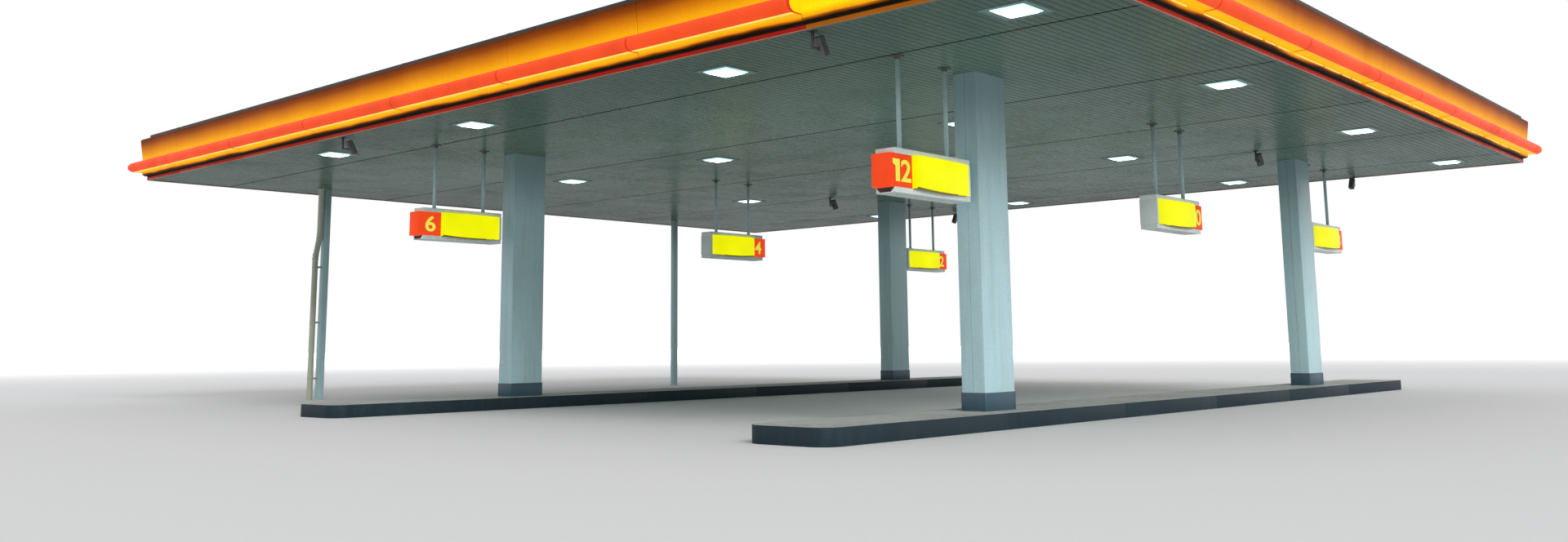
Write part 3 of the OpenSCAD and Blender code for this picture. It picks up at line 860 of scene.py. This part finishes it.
housing = start_block("lamp_boxes", (-glass_half, -glass_half, 0), (glass_half, glass_half, housing_top))
inset(looking(Z, 1), (0.02, 0), (0.004, 0.006))
ease(housing, 0.003)
flange = start_block("lamp_flange", (-flange_half, -flange_half, 0.012), (flange_half, flange_half, 0.020))
round_off(along(Z), 0.02, 3)
gear = soft_block("lamp_gear", (-0.12, -0.08, housing_top), (0.12, 0.08, gear_top), 0.004, 2)
lid = soft_block("lamp_gear_lid", (-0.124, -0.084, gear_top - 0.005), (0.124, 0.084, lid_top), 0.003, 2)
gland = start_turned("lamp_gland", [(0.016, 0), (0.016, 0.01), (0.011, 0.012), (0.011, 0.05)], 12)
gland.data.transform(move((0.12, 0.03, 0.155)) @ facing(X, 1))
screws = start_turned("lid_screws", [(0.006, 0), (0.005, 0.003)], 6)
spread(screws, corners(0.105, 0.066, lid_top))
join_to(housing, flange, gear, lid, gland, screws)
spread(housing, lamp_places)
lamp_metal = weathered("lamp housing metal", (0.46, 0.47, 0.47), (0.20, 0.19, 0.17), 0.6, 0.45, Metallic=0.6)
put_on(housing, lamp_metal, "lamp_body", "lamp_housings")


# Roof steel: hot rolled beams, purlins and rim channels, galvanised, bolted together through
# their flanges. The solids have their section. Bolts and channel cleats are added here.
purlin_head = 4.846
flange_wall = 0.016
cleat_y = 10.59
hexagon = [(0.012, 0), (0.012, 0.008), (0.009, 0.010)]


def galvanising():
    """Zinc with its crystal pattern, dulled in blotches."""
    material = weathered(
        "galvanising", (0.50, 0.52, 0.53), (0.26, 0.26, 0.25), 0.7, 0.42, grain=90.0, Metallic=0.75
    )
    tree = material.node_tree
    crystals = add_node(tree, "ShaderNodeTexVoronoi", {"Vector": object_place(tree), "Scale": 55.0})
    crystal = add_node(tree, "ShaderNodeSeparateColor", {0: crystals.outputs["Color"]}).outputs[0]
    tone = ranged(tree, crystal, (0, 1), (0.82, 1.12))
    feed(material, "Base Color", scaled(tree, fed(material, "Base Color"), tone))
    return material


zinc = galvanising()
for name in ("beam_front", "beam_middle", "beam_rear", "purlins", "rim_channels"):
    finish_node(name, zinc)
bolts = start_turned("frame_bolts", [(0.018, 0), (0.018, 0.003), (0.012, 0.003)] + hexagon[1:], 6)
spread(bolts, [
    move((x, y, purlin_head + flange_wall)) @ place
    for x in purlin_xs for y in (row_front, row_middle, row_rear) for place in corners(0.04, 0.07, 0)
])
cleats = soft_block("rim_cleats", (-0.05, -0.04, 0), (0.05, 0.04, 0.010), 0.002)
upstand = soft_block("cleat_upstand", (-0.05, 0.03, 0.010), (0.05, 0.04, 0.09), 0.002)
heads = start_turned("cleat_bolts", hexagon, 6)
spread(heads, [move((0.025 * i, -0.008, 0.010)) for i in (-1, 1)])
join_to(cleats, upstand, heads)
spread(cleats, [
    move((x, side * cleat_y, purlin_head)) @ Matrix.Rotation(math.pi * (side < 0), 4, "Z")
    for x in purlin_xs for side in (-1, 1)
])
join_to(bolts, cleats)
put_on(bolts, zinc, "galvanised_steel")


# Fascia faces: formed acrylic sheet that leans out to a rolled top and turns back at its foot,
# hung in panels on the back pan and lit from inside along its foot.
side_length = (18.3, 21.3, 18.3, 21.3)
side_out = (10.65, 9.15, 10.65, 9.15)
side_names = ("front", "right", "rear", "left")
past_corner = 0.4
mitre_gap = 0.003
face_back = 0.010
face_foot = 0.085
face_head = 0.140
lip_height = 0.09
bar_head = 0.362
face_height = 0.85
head_round = 0.045
lip_round = 0.030
face_wall = 0.006
joint_gap = 0.010
panel_length = 2.75
front_joints = [start + panel_length * i for start in (-6.15, 0.48) for i in range(3)]
right_joints = [panel_length * i for i in range(-3, 4)]
left_joints = [-9.1 + panel_length * i for i in range(7)]
panel_joints = (front_joints, right_joints, front_joints, left_joints)


def start_run(name, side, low, high, ends=None):
    """A block along one side of the roof, drawn as if on the front. low and high are the
    distances out from the ceiling's edge and up from the ceiling. Without its own ends the
    block runs past both corners."""
    reach = side_length[side] / 2 + past_corner
    start, stop = ends or (-reach, reach)
    edge = -side_out[side]
    return start_block(
        name, (start, edge - high[0], ceiling + low[1]), (stop, edge - low[0], ceiling + high[1])
    )


def lengthwise(side, out, up, width=0.002):
    """A rule for the long edge at a distance out from and up from the ceiling's edge."""
    return along(
        X, lambda at: abs(at.y + side_out[side] + out) < width and abs(at.z - ceiling - up) < width
    )


def back_and_ends(at, way):
    """A rule for the hidden back of a run and its two ends."""
    return way.y > 0.99 or abs(way.x) > 0.99


def mitre(side, closed=False):
    """Cuts both ends of a run to a mitre."""
    half = side_length[side] / 2 - mitre_gap
    for end in (-1, 1):
        cut((end * half, -side_out[side], 0), (end, 1, 0), "outer", closed)


def to_side(piece, side):
    """Turns a run from the front to its own side."""
    piece.data.transform(Matrix.Rotation(side * math.pi / 2, 4, "Z"))


def face_finish(name, tones):
    """Amber acrylic that glows over the tubes near its foot and falls dark towards its head. Its base colour
    follows the same ramp, so the falloff is painted shade in it too, and the lip's underside at the very foot
    is painted shade.
    """
    material = weathered(
        name, (1, 1, 1), (0.70, 0.68, 0.66), 0.14, 0.42, grain=45.0, relief=0.0003,
        Specular_IOR_Level=0.03, Emission_Strength=0.72,
    )
    tree = material.node_tree
    wander = ranged(tree, noise(tree, 0.9, 2.0), (0, 1), (-0.035, 0.035))
    height = maths(tree, "ADD", place_parts(tree)["Z"], wander)
    share = ranged(tree, height, (ceiling + lip_height, ceiling + face_height))
    ramp = add_node(tree, "ShaderNodeValToRGB", {"Fac": share})
    elements = ramp.color_ramp.elements
    for i in (0, -1):
        elements[i].position = tones[i][0]
        elements[i].color = (*tones[i][1], 1)
    for place, colour in tones[1:-1]:
        elements.new(place).color = (*colour, 1)
    based = maths(tree, "MULTIPLY", ramp.outputs["Color"], fed(material, "Base Color"), kind="VectorMath")
    feed(material, "Base Color", scaled(tree, based, 0.35))
    feed(material, "Emission Color", based)
    return material


face_acrylic = face_finish("face acrylic", (
    # The darkest stops at the foot are painted shade on the lip's underside.
    (0.0, (0.050, 0.009, 0.001)),
    (0.022, (0.40, 0.090, 0.002)),
    (0.042, (0.95, 0.34, 0.005)),
    (0.085, (1.0, 0.52, 0.010)),
    (0.38, (1.0, 0.50, 0.006)),
    (0.49, (0.93, 0.41, 0.003)),
    (0.645, (0.70, 0.22, 0.002)),
    (0.84, (0.29, 0.054, 0.001)),
    (1.0, (0.055, 0.014, 0.001)),
))
plain_acrylic = face_finish("plain stretch acrylic", (
    # The darkest stops at the foot are painted shade on the lip's underside.
    (0.0, (0.030, 0.006, 0.001)),
    (0.03, (0.35, 0.09, 0.002)),
    (0.055, (1.0, 0.38, 0.006)),
    (0.11, (1.0, 0.60, 0.004)),
    (0.17, (1.0, 0.82, 0.004)),
    (0.40, (1.0, 0.68, 0.003)),
    (0.65, (0.90, 0.40, 0.002)),
    (0.85, (0.55, 0.17, 0.001)),
    (1.0, (0.16, 0.045, 0.001)),
))
for side, side_name in enumerate(side_names):
    face = start_run(f"fascia_face_{side_name}", side, (face_back, lip_height), (face_head, face_height))
    cut((0, 0, ceiling + bar_head), (0, 0, 1))
    for up in (lip_height, bar_head):
        shift_part("EDGE", lengthwise(side, face_head, up), (0, face_head - face_foot, 0))
    round_off(lengthwise(side, face_head, face_height), head_round, 6)
    round_off(lengthwise(side, face_foot, lip_height), lip_round, 5)
    take_away(back_and_ends)
    mitre(side)
    part_shell(panel_joints[side], joint_gap, X)
    thicken(face, face_wall)
    to_side(face, side)
    put_on(face, face_acrylic, "face_acrylic", f"fascia_{side_name}")
    if side_name == "left":
        tint(face, plain_acrylic, lambda at, way: at.y < -left_joints[-1])


# Light bars: bullnose acrylic covers over the tubes, in lengths butted end to end, with a
# sleeve over each joint and a moulded cap where the left bar stops at the plain stretch.
bar_foot = 0.162
bar_out = 0.300
bar_round = 0.0998
bar_wall = 0.004
sleeve_proud = 0.002
sleeve_half = 0.016
cap_proud = 0.003
cap_wall = 0.012
bar_front_joints = front_joints[:3] + [1.36] + front_joints[4:]
bar_joints = (bar_front_joints, right_joints, bar_front_joints, left_joints[:-1])
bar_end = left_joints[-1]


def start_bar(name, side, proud):
    """The bullnose shell of a light bar, proud of its own size by so much."""
    out, foot, head = bar_out + proud, bar_foot - proud, bar_head + proud
    bar = start_run(name, side, (face_foot, foot), (out, head))
    round_off(
        lambda at, way: lengthwise(side, out, foot)(at, way) or lengthwise(side, out, head)(at, way),
        bar_round + proud, 9,
    )
    take_away(back_and_ends)
    mitre(side)
    return bar


def amber_inward(material, axis, low, high, share):
    """Turns a lit finish amber across a strip's width, towards the face behind it: painted amber light from
    the face.
    """
    tree = material.node_tree
    lighter = ranged(tree, maths(tree, "ABSOLUTE", place_parts(tree)[axis]), (low, high), kind="SMOOTHSTEP")
    for socket in ("Base Color", "Emission Color"):
        given = fed(material, socket)
        amber = maths(tree, "MULTIPLY", given, share, kind="VectorMath")
        feed(material, socket, blended(tree, lighter, amber, given))


bar_acrylic = lit("bar acrylic", (0.98, 0.088, 0.020), 0.28, 0.76, gloss=0.35)
sleeve_acrylic = lit("bar sleeve acrylic", (0.85, 0.040, 0.014), 0.28, 0.72, gloss=0.35)
end_acrylic = lit("bar end acrylic", (1.0, 0.68, 0.004), 0.28, 0.76, gloss=0.35)
# The bars' flat undersides glow yellow and amber instead of red: painted highlight of the tubes.
underside_highlights = [
    lit(f"bar underside painted highlight {name}", colour, 0.28, 0.80, gloss=0.3)
    for name, colour in (("front", (1.0, 0.50, 0.005)), ("side", (1.0, 0.84, 0.18)))
]
amber_inward(underside_highlights[1], X, side_out[1] + 0.135, side_out[1] + 0.185, (1.0, 0.62, 0.06))
for side, side_name in enumerate(side_names):
    left = side_name == "left"
    bar = start_bar(f"light_bar_cover_{side_name}", side, 0)
    if left:
        cut((bar_end, 0, 0), (1, 0, 0), "outer")
    part_shell(bar_joints[side], joint_gap, X)
    thicken(bar, bar_wall)
    to_side(bar, side)
    put_on(bar, bar_acrylic, "bar_acrylic", f"light_bar_{side_name}")
    # The flat underside takes the painted highlight.
    tint(bar, underside_highlights[side % 2], lambda at, way: way.z < -0.97 and at.z < ceiling + bar_foot + 0.002)
    sleeves = start_bar(f"light_bar_sleeves_{side_name}", side, sleeve_proud)
    places = bar_joints[side] + [bar_end - sleeve_half] * left
    for place in places:
        for end in (-sleeve_half, sleeve_half):
            cut((place + end, 0, 0), (1, 0, 0))
    take_away(lambda at, way: min(abs(at.x - place) for place in places) > sleeve_half)
    thicken(sleeves, sleeve_proud)
    if left:
        end_cap = start_run(
            "light_bar_cap", side, (face_foot, bar_foot - cap_proud),
            (bar_out + cap_proud, bar_head + cap_proud), (bar_end, bar_end + cap_wall),
        )
        round_off(along(X, lambda at: at.y < -side_out[side] - bar_out), bar_round + cap_proud, 9)
        ease(end_cap, 0.003, 2)
        join_to(sleeves, end_cap)
    to_side(sleeves, side)
    put_on(sleeves, sleeve_acrylic, "bar_acrylic")
    if left:
        tint(sleeves, end_acrylic, lambda at, way: way.y < -0.9 and abs(at.y + bar_end + cap_wall) < 0.002)


# Foot strips: thin strips along the foot of the front and rear faces, broken into dashes along
# each panel, that glow as a painted highlight of the tubes inside the face.
strip_low = 0.122
strip_high = 0.139
strip_out = 0.004
shortest = 0.1
dashes = ((0.0, 1.0), (1.1, 1.67), (1.77, 2.10), (2.17, 2.54))


def panels(side, half):
    """The panels along a side from start to stop, out to half a length each way."""
    ends = [-half, *panel_joints[side], half]
    return list(zip(ends, ends[1:]))


# The strips' glow is a painted highlight.
foot_highlight = lit("foot painted highlight", (1.0, 0.80, 0.20), 0.35, 0.80, gloss=0.2)
for side in (0, 2):
    strips = []
    for start, stop in panels(side, side_length[side] / 2):
        for a, b in dashes:
            if start + a < stop - shortest:
                strips.append(start_run(
                    f"foot_strips_{side_names[side]}", side, (face_foot - 0.001, strip_low),
                    (face_foot + strip_out, strip_high), (start + a, min(start + b, stop)),
                ))
                round_off(along(X, lambda at: at.y < -side_out[side] - face_foot), 0.0035, 2)
    join_to(*strips)
    to_side(strips[0], side)
    put_on(strips[0], foot_highlight, "bar_acrylic")


# Back pans and coping: folded dark grey sheet behind the light box, painted near black as painted
# shade in the recess under the face's lip, and a capping over its top with a saddle over each joint.
coping_low = (-0.015, 0.85)
coping_high = (0.095, 0.90)
coping_top = 0.88
coping_fall = 0.010
coping_short = 0.23
coping_gap = 0.002
saddle_half = 0.04
saddle_proud = 0.002
# The pans' near-black is painted shade in the recess under the lip.
pan_shade_paint = weathered(
    "pan painted shade", (0.017, 0.009, 0.004), (0.045, 0.032, 0.022), 0.5, 0.5, Specular_IOR_Level=0.1
)
coping_paint = weathered(
    "coping paint", (0.026, 0.018, 0.017), (0.070, 0.068, 0.070), 0.5, 0.45, Specular_IOR_Level=0.25
)
finish_node("back_pans", pan_shade_paint)
copings = []
for side in range(4):
    stretches = [
        (start + coping_gap, stop - coping_gap, 0)
        for start, stop in panels(side, side_length[side] / 2 - coping_short)
    ]
    stretches += [(joint - saddle_half, joint + saddle_half, saddle_proud) for joint in panel_joints[side]]
    for start, stop, proud in stretches:
        coping = start_run(
            "roof_copings", side, (coping_low[0] - proud, coping_low[1]),
            (coping_high[0] + proud, coping_high[1] + proud), (start, stop),
        )
        inner_top = along(X, lambda at: at.y > -side_out[side] and at.z > ceiling + coping_top)
        shift_part("EDGE", inner_top, (0, 0, -coping_fall))
        round_off(along(X, lambda at: at.z > ceiling + coping_top), 0.006, 2)
        to_side(coping, side)
        copings.append(coping)
join_to(*copings)
put_on(copings[0], coping_paint, "coping_sheet", "copings")


# Edge strips and trims: a strip along the ceiling's edge that glows red as a painted reflection of
# the light bar, and under it a pale extruded trim that carries the ends of the ceiling planks, tinted
# pink by painted red light; both turn orange at the plain stretch and come in panel lengths.
run_gap = 0.001
corner_spare = 0.2
# The strip's red glow is a painted reflection of the light bar, orange at the plain stretch.
red_painted_reflection = lit("edge strip red painted reflection", (0.40, 0.014, 0.007), 0.45, 0.50, gloss=0.35)
orange_painted_reflection = lit("plain edge strip orange painted reflection", (0.40, 0.11, 0.004), 0.6, 0.45, gloss=0.35)
# The trim's pink, orange at the plain stretch, is painted light from the glowing parts above.
trim_with_red_light = weathered("trim with painted red light", (0.56, 0.25, 0.18), (0.30, 0.13, 0.10), 0.3, 0.4)
plain_trim_with_amber_light = weathered("plain trim with painted amber light", (0.45, 0.18, 0.03), (0.22, 0.10, 0.05), 0.4, 0.4)
trim_foot = weathered(
    "trim foot paint", (0.12, 0.16, 0.14), (0.10, 0.12, 0.10), 0.4, 0.4, Specular_IOR_Level=0.1
)


def lay_round(name, low, high, material, plain, slot, node):
    """A strip round the whole roof in panel lengths, with its own finish at the plain stretch."""
    made = []
    for side in range(4):
        for start, stop in panels(side, side_length[side] / 2 + corner_spare):
            length = start_run(name, side, low, high, (start + run_gap, stop - run_gap))
            mitre(side, closed=True)
            ease(length, 0.003, 2)
            to_side(length, side)
            made.append(length)
    join_to(*made)
    put_on(made[0], material, slot, node)
    tint(made[0], plain, lambda at, way: at.x < -9.1 and at.y < -left_joints[-1])
    tint(made[0], trim_foot, lambda at, way: way.z < -0.9 and at.z < ceiling - 0.005)


lay_round(
    "edge_strip_covers", (0.0, 0.0), (0.012, 0.0495), red_painted_reflection, orange_painted_reflection,
    "strip_acrylic", "edge_strips",
)
lay_round(
    "edge_trim_lengths", (-0.040, -0.010), (0.014, 0.0), trim_with_red_light, plain_trim_with_amber_light,
    "trim_sheet", "edge_trims",
)


# Blank roundel: a lit acrylic disc box with a raised rim and a domed plain face, stood off the
# plain stretch of the left side on its back tray.
roundel_place = (-9.25, -9.025, 5.12)
tray_clear = 0.012
roundel = start_turned("blank_roundel_box", [
    (0.438, 0.0), (0.45, 0.006), (0.45, 0.096), (0.444, 0.106), (0.430, 0.110), (0.418, 0.104),
    (0.412, 0.090), (0.36, 0.098), (0.28, 0.104), (0.18, 0.108), (0.08, 0.110),
], 96)
roundel.data.transform(move(roundel_place) @ facing(X, -1))
face_lean = (-0.443, 0, -0.055)
cut((-side_out[3] - face_foot - tray_clear, 0, ceiling + bar_head), face_lean, "inner", True)
roundel_acrylic = lit("roundel acrylic", (1.0, 0.80, 0.015), 0.5, 0.6, gloss=0.22)
put_on(roundel, roundel_acrylic, "roundel_acrylic", "blank_roundel")


# Number signs: a folded white sheet box with rounded caps carries two bowed yellow lenses, and
# a red lamp box with the pump numbers stands past its end, over a dark plate on the cap's end that is painted
# shadow.
sign_half = 0.8
sign_side = 0.15
cap_depth = 0.07
sign_height = 0.545
core_side = 0.105
number_inner = -0.445
number_end = -0.89
number_side = 0.143
lens_low = cap_depth
lens_high = sign_height - cap_depth
lens_start = -0.445
lens_stop = 0.75
lens_back = -0.108
lens_out = 0.080
lens_end = 0.010
lens_bow = 0.030
lens_sag = 0.025
lens_steps = 12
sign_rows = (
    (row_front, 2.835, (-6.89, 0, 6.85), ((12, 11), (10, 9), (8, 7))),
    (row_middle, 2.905, (-6.99, -0.10, 6.85), ((6, 5), (4, 3), (2, 1))),
)
sign_turns = (0, math.pi, math.pi)
sign_places = [
    move((x, y, z)) @ Matrix.Rotation(turn, 4, "Z")
    for y, z, xs, pairs in sign_rows for x, turn in zip(xs, sign_turns)
]

frame_box = start_block("sign_boxes", (-sign_half, -sign_side, 0), (sign_half, sign_side, cap_depth))
round_off(along(Z), 0.02, 3)
inset(looking(Z, -1), (0.018, -0.006))
ease(frame_box, 0.006, 2)
top_cap = start_block(
    "sign_top_cap", (-sign_half, -sign_side, lens_high), (sign_half, sign_side, sign_height)
)
round_off(along(Z), 0.02, 3)
inset(looking(Z, 1), (0.015, 0), (0.004, -0.003))
ease(top_cap, 0.006, 3)
core = soft_block(
    "sign_core", (number_inner, -core_side, cap_depth), (lens_stop, core_side, lens_high), 0.002
)
end_plate = start_block("sign_end", (lens_stop, -sign_side, cap_depth), (sign_half, sign_side, lens_high))
inset(looking(X, 1), (0.02, 0), (0.003, 0.003))
ease(end_plate, 0.003)
screws = start_turned("sign_screws", [(0.006, 0), (0.0055, 0.002), (0.003, 0.0035)], 8)
spread(screws, [
    move((x, side * sign_side, z)) @ facing(Y, side)
    for x in (-0.7, 0, 0.7) for side in (-1, 1) for z in (cap_depth / 2, sign_height - cap_depth / 2)
])
join_to(frame_box, top_cap, core, end_plate, screws)
spread(frame_box, sign_places)
sign_paint = weathered("sign paint", (0.84, 0.93, 0.91), (0.42, 0.48, 0.44), 0.3, 0.35)
put_on(frame_box, sign_paint, "sign_sheet", "sign_frames")

# The front of a lens falls from its number end to its far end, and its foot sags.
lens_root = -sign_side - 0.004
lens_front = -sign_side - lens_out
lens = start_block("sign_bowed_lenses", (lens_start, lens_front, lens_low), (lens_stop, lens_back, lens_high))
cut((0, lens_root, 0), (0, 1, 0))
for up, radius in ((lens_low, 0.030), (lens_high, 0.012)):
    round_off(
        along(X, lambda at: at.y < lens_front + lens_out / 2 and abs(at.z - up) < 1e-3), radius, 4
    )
places = [lens_start + (lens_stop - lens_start) * i / lens_steps for i in range(lens_steps + 1)]
for place in places[1:-1]:
    cut((place, 0, 0), (1, 0, 0))
for i, place in enumerate(places):
    share = i / lens_steps
    bow = 4 * share * (1 - share)
    out = lens_out + (lens_end - lens_out) * share + lens_bow * bow
    stretch = (out + lens_root + sign_side) / (lens_out + lens_root + sign_side)
    pick("VERT", lambda at, way: abs(at.x - place) < 1e-3 and at.y < lens_root - 1e-3)
    bpy.ops.transform.resize(value=(1, stretch, 1), center_override=(0, lens_root, 0))
    bpy.ops.object.mode_set(mode="OBJECT")
    shift_part(
        "VERT",
        lambda at, way: abs(at.x - place) < 1e-3 and at.y < lens_root - 1e-3 and at.z < lens_low + 0.04,
        (0, 0, -lens_sag * bow),
    )
ease(lens, 0.006, 2)
other = lens.copy()
other.data = lens.data.copy()
other.data.transform(Matrix.Diagonal((1, -1, 1, 1)))
other.data.flip_normals()
bpy.context.collection.objects.link(other)
join_to(lens, other)
spread(lens, sign_places)
lens_acrylic = lit("yellow lens acrylic", (0.98, 0.98, 0.002), 0.28, 0.82, gloss=0.2)
# The lens's downward faces are dark and unlit: painted shade.
lens_underside_shade = weathered("lens underside painted shade", (0.30, 0.235, 0.004), (0.18, 0.14, 0.01), 0.4, 0.3)
put_on(lens, lens_acrylic, "yellow_acrylic", "sign_lenses")
tint(lens, lens_underside_shade, lambda at, way: way.z < -0.35)

box = start_block(
    "sign_number_boxes", (number_end, -number_side, lens_low), (number_inner, number_side, lens_high)
)
round_off(along(Z, lambda at: at.x < -sign_half), 0.02, 4)
ease(box, 0.005, 2)
spread(box, sign_places)
red_acrylic = lit("number box acrylic", (0.98, 0.076, 0.016), 0.28, 0.76, gloss=0.22)
put_on(box, red_acrylic, "red_acrylic", "sign_number_ends")

# A dark tapered plate on the bottom cap's end under the red box: painted shadow.
recess = start_block("sign_recesses", (-sign_half - 0.004, -0.135, 0.012), (-sign_half + 0.004, 0.135, 0.066))
for side in (-1, 1):
    shift_part("VERT", lambda at, way: at.y * side > 0 and at.z < 0.02, (0, -0.055 * side, 0))
inset(looking(X, -1), (0.004, 0), (0.002, -0.003))
ease(recess, 0.001)
spread(recess, sign_places)
shadow_plate_paint = weathered("sign end painted shadow", (0.012, 0.014, 0.014), (0.05, 0.05, 0.05), 0.4, 0.5)
put_on(recess, shadow_plate_paint, "camera_paint")

digit_height = 0.27
digit_width = 0.20
digit_gap = 0.027
digit_rise = 0.003
digit_bold = 0.019
stem_left = 0.055
stem_right = 0.135
flag_foot = digit_height - 0.085
flag_slope = 0.030


def start_digit(digit):
    """A digit cut from thin sheet, flat in the XY plane with its lower left corner at zero."""
    if digit == "1":
        shape = start_block("digit", (stem_left, 0, -digit_rise), (stem_right, digit_height, digit_rise))
        cut((0, flag_foot, 0), (0, 1, 0))
        pick("FACE", lambda at, way: way.x < -0.99 and at.y > flag_foot)
        bpy.ops.mesh.extrude_region_move(TRANSFORM_OT_translate={"value": (-stem_left, 0, 0)})
        bpy.ops.object.mode_set(mode="OBJECT")
        shift_part("VERT", lambda at, way: at.x < 0.001 and at.y < flag_foot + 0.001, (0, flag_slope, 0))
        return shape
    bpy.ops.object.select_all(action="DESELECT")
    bpy.ops.object.text_add()
    words = bpy.context.object.data
    words.body = digit
    words.offset = digit_bold
    words.extrude = digit_rise
    words.resolution_u = 5
    bpy.ops.object.convert(target="MESH")
    shape = bpy.context.object
    xs = [corner.co.x for corner in shape.data.vertices]
    ys = [corner.co.y for corner in shape.data.vertices]
    size = Matrix.Diagonal((digit_width / (max(xs) - min(xs)), digit_height / (max(ys) - min(ys)), 1, 1))
    shape.data.transform(size @ move((-min(xs), -min(ys), 0)))
    return shape


def start_number(value, place):
    """A pump number, its digits side by side and centred, stood up facing the front."""
    digits = []
    reach = 0
    for digit in str(value):
        shape = start_digit(digit)
        shape.data.transform(move((reach, 0, 0)))
        reach += digit_gap + (stem_right if digit == "1" else digit_width)
        digits.append(shape)
    join_to(*digits)
    centred = move(((digit_gap - reach) / 2, -digit_height / 2, 0))
    digits[0].data.transform(place @ Matrix.Rotation(math.pi / 2, 4, "X") @ centred)
    return digits[0]


number_x = -0.6525
number_z = (lens_low + lens_high) / 2
numbers = [
    start_number(
        value,
        move((x + number_x * math.cos(turn), y, z + number_z))
        @ Matrix.Rotation(way, 4, "Z") @ move((0, -number_side, 0)),
    )
    for y, z, xs, pairs in sign_rows
    for x, turn, pair in zip(xs, sign_turns, pairs)
    for way, value in zip((0, math.pi), pair)
]
join_to(*numbers)
numbers[0].name = numbers[0].data.name = "pump_numbers"
number_acrylic = lit("number acrylic", (1.0, 0.92, 0.10), 0.45, 0.62, gloss=0.25)
put_on(numbers[0], number_acrylic, "yellow_acrylic")


# Sign hangers: painted steel pipe with a pressed cover and a bolted plate under the ceiling,
# and a locking collar where it enters the top cap of its sign.
hanger_radius = 0.030
hanger_x = 0.5
plate_half = 0.065
plate_wall = 0.010
cover_height = 0.055
hangers = []
for y, z, xs, pairs in sign_rows:
    drop = ceiling - z - sign_height
    hanger = start_turned("sign_hanger_pipes", [
        (0.037, 0), (0.037, 0.022), (0.034, 0.026), (hanger_radius, 0.027),
        (hanger_radius, drop - cover_height), (0.036, drop - cover_height + 0.001),
        (0.038, drop - 0.045), (0.038, drop - plate_wall),
    ], 24)
    plate = start_block(
        "hanger_plate", (-plate_half, -plate_half, drop - plate_wall), (plate_half, plate_half, drop)
    )
    round_off(along(Z), 0.008, 2)
    ease(plate, 0.002)
    bolts = start_turned("hanger_bolts", [(0.009, 0), (0.009, 0.006), (0.006, 0.008)], 6)
    spread(bolts, [place @ under for place in corners(0.048, 0.048, drop - plate_wall)])
    join_to(hanger, plate, bolts)
    spread(hanger, [move((x + hanger_x * i, y, z + sign_height)) for x in xs for i in (-1, 1)])
    hangers.append(hanger)
join_to(*hangers)
hanger_paint = weathered("hanger paint", (0.46, 0.63, 0.66), (0.27, 0.34, 0.35), 0.4, 0.36)
# The hanger pipes darken towards the ceiling: painted shade.
dull_upward(hanger_paint, 3.7, 4.5, 0.55)
hanger_plate_paint = weathered("hanger plate paint", (0.085, 0.095, 0.090), (0.13, 0.13, 0.12), 0.5, 0.42)
put_on(hangers[0], hanger_paint, "hanger_paint", "sign_hangers")
tint(hangers[0], hanger_plate_paint, lambda at, way: at.z > ceiling - cover_height - 0.0005)


# Security cameras: a drawn metal housing under a sun hood, tilted down on a swivel at the foot
# of a square drop post, with a glazed front and a cable gland behind.
camera_tilt = 62
base_half = 0.045
base_wall = 0.010
post_half = 0.015
camera_places = [
    move((x, y, ceiling)) @ Matrix.Rotation(math.radians(turn), 4, "Z")
    for x, turn in ((-9.05, 90), (3.63, 90), (9.05, -90)) for y in (row_front - 0.05, row_middle + 0.35)
]
base = start_block("camera_arms", (-base_half, -base_half, -base_wall), (base_half, base_half, 0))
round_off(along(Z), 0.008, 2)
ease(base, 0.002)
post = soft_block(
    "camera_post", (-post_half, -post_half, -0.205), (post_half, post_half, -base_wall), 0.003, 2
)
arm = soft_block("camera_arm", (-0.013, -0.125, -0.203), (0.013, -0.010, -0.182), 0.003, 2)
swivel = start_turned("camera_swivel", [(0.020, 0), (0.022, 0.004), (0.022, 0.026), (0.018, 0.030)], 16)
swivel.data.transform(move((0, -0.122, -0.210)))
bolts = start_turned("camera_bolts", [(0.006, 0), (0.006, 0.004), (0.004, 0.005)], 6)
spread(bolts, [place @ under for place in corners(0.033, 0.033, -base_wall)])
join_to(base, post, arm, swivel, bolts)
spread(base, camera_places)
arm_paint = weathered("camera arm paint", (0.028, 0.030, 0.030), (0.06, 0.06, 0.055), 0.5, 0.45)
put_on(base, arm_paint, "camera_paint", "camera_brackets")

housing = start_block("camera_bodies", (-0.048, -0.115, -0.052), (0.048, 0.115, 0.045))
round_off(along(Y), 0.016, 4)
inset(looking(Y, -1), (0.006, 0), (0.001, -0.012))
ease(housing, 0.001)
hood = start_block("camera_hood", (-0.055, -0.120, -0.010), (0.055, 0.105, 0.055))
take_away(lambda at, way: way.z < -0.99 or abs(way.y) > 0.99)
round_off(along(Y, lambda at: at.z > 0.03), 0.018, 4)
thicken(hood, 0.003)
eye = start_turned(
    "camera_eye", [(0.032, 0), (0.032, 0.007), (0.026, 0.009), (0.023, 0.004), (0.008, 0.008)], 24
)
eye.data.transform(move((0, -0.103, 0)) @ facing(Y, -1))
gland = start_turned("camera_gland", [(0.012, 0), (0.012, 0.008), (0.008, 0.010), (0.006, 0.020)], 12)
gland.data.transform(move((0, 0.099, 0)) @ facing(Y, 1))
join_to(housing, hood, eye, gland)
housing.data.transform(move((0, -0.150, -0.155)) @ Matrix.Rotation(math.radians(camera_tilt), 4, "X"))
spread(housing, camera_places)
housing_paint = weathered("camera housing paint", (0.080, 0.085, 0.086), (0.14, 0.15, 0.15), 0.5, 0.35)
put_on(housing, housing_paint, "camera_paint", "camera_housings")
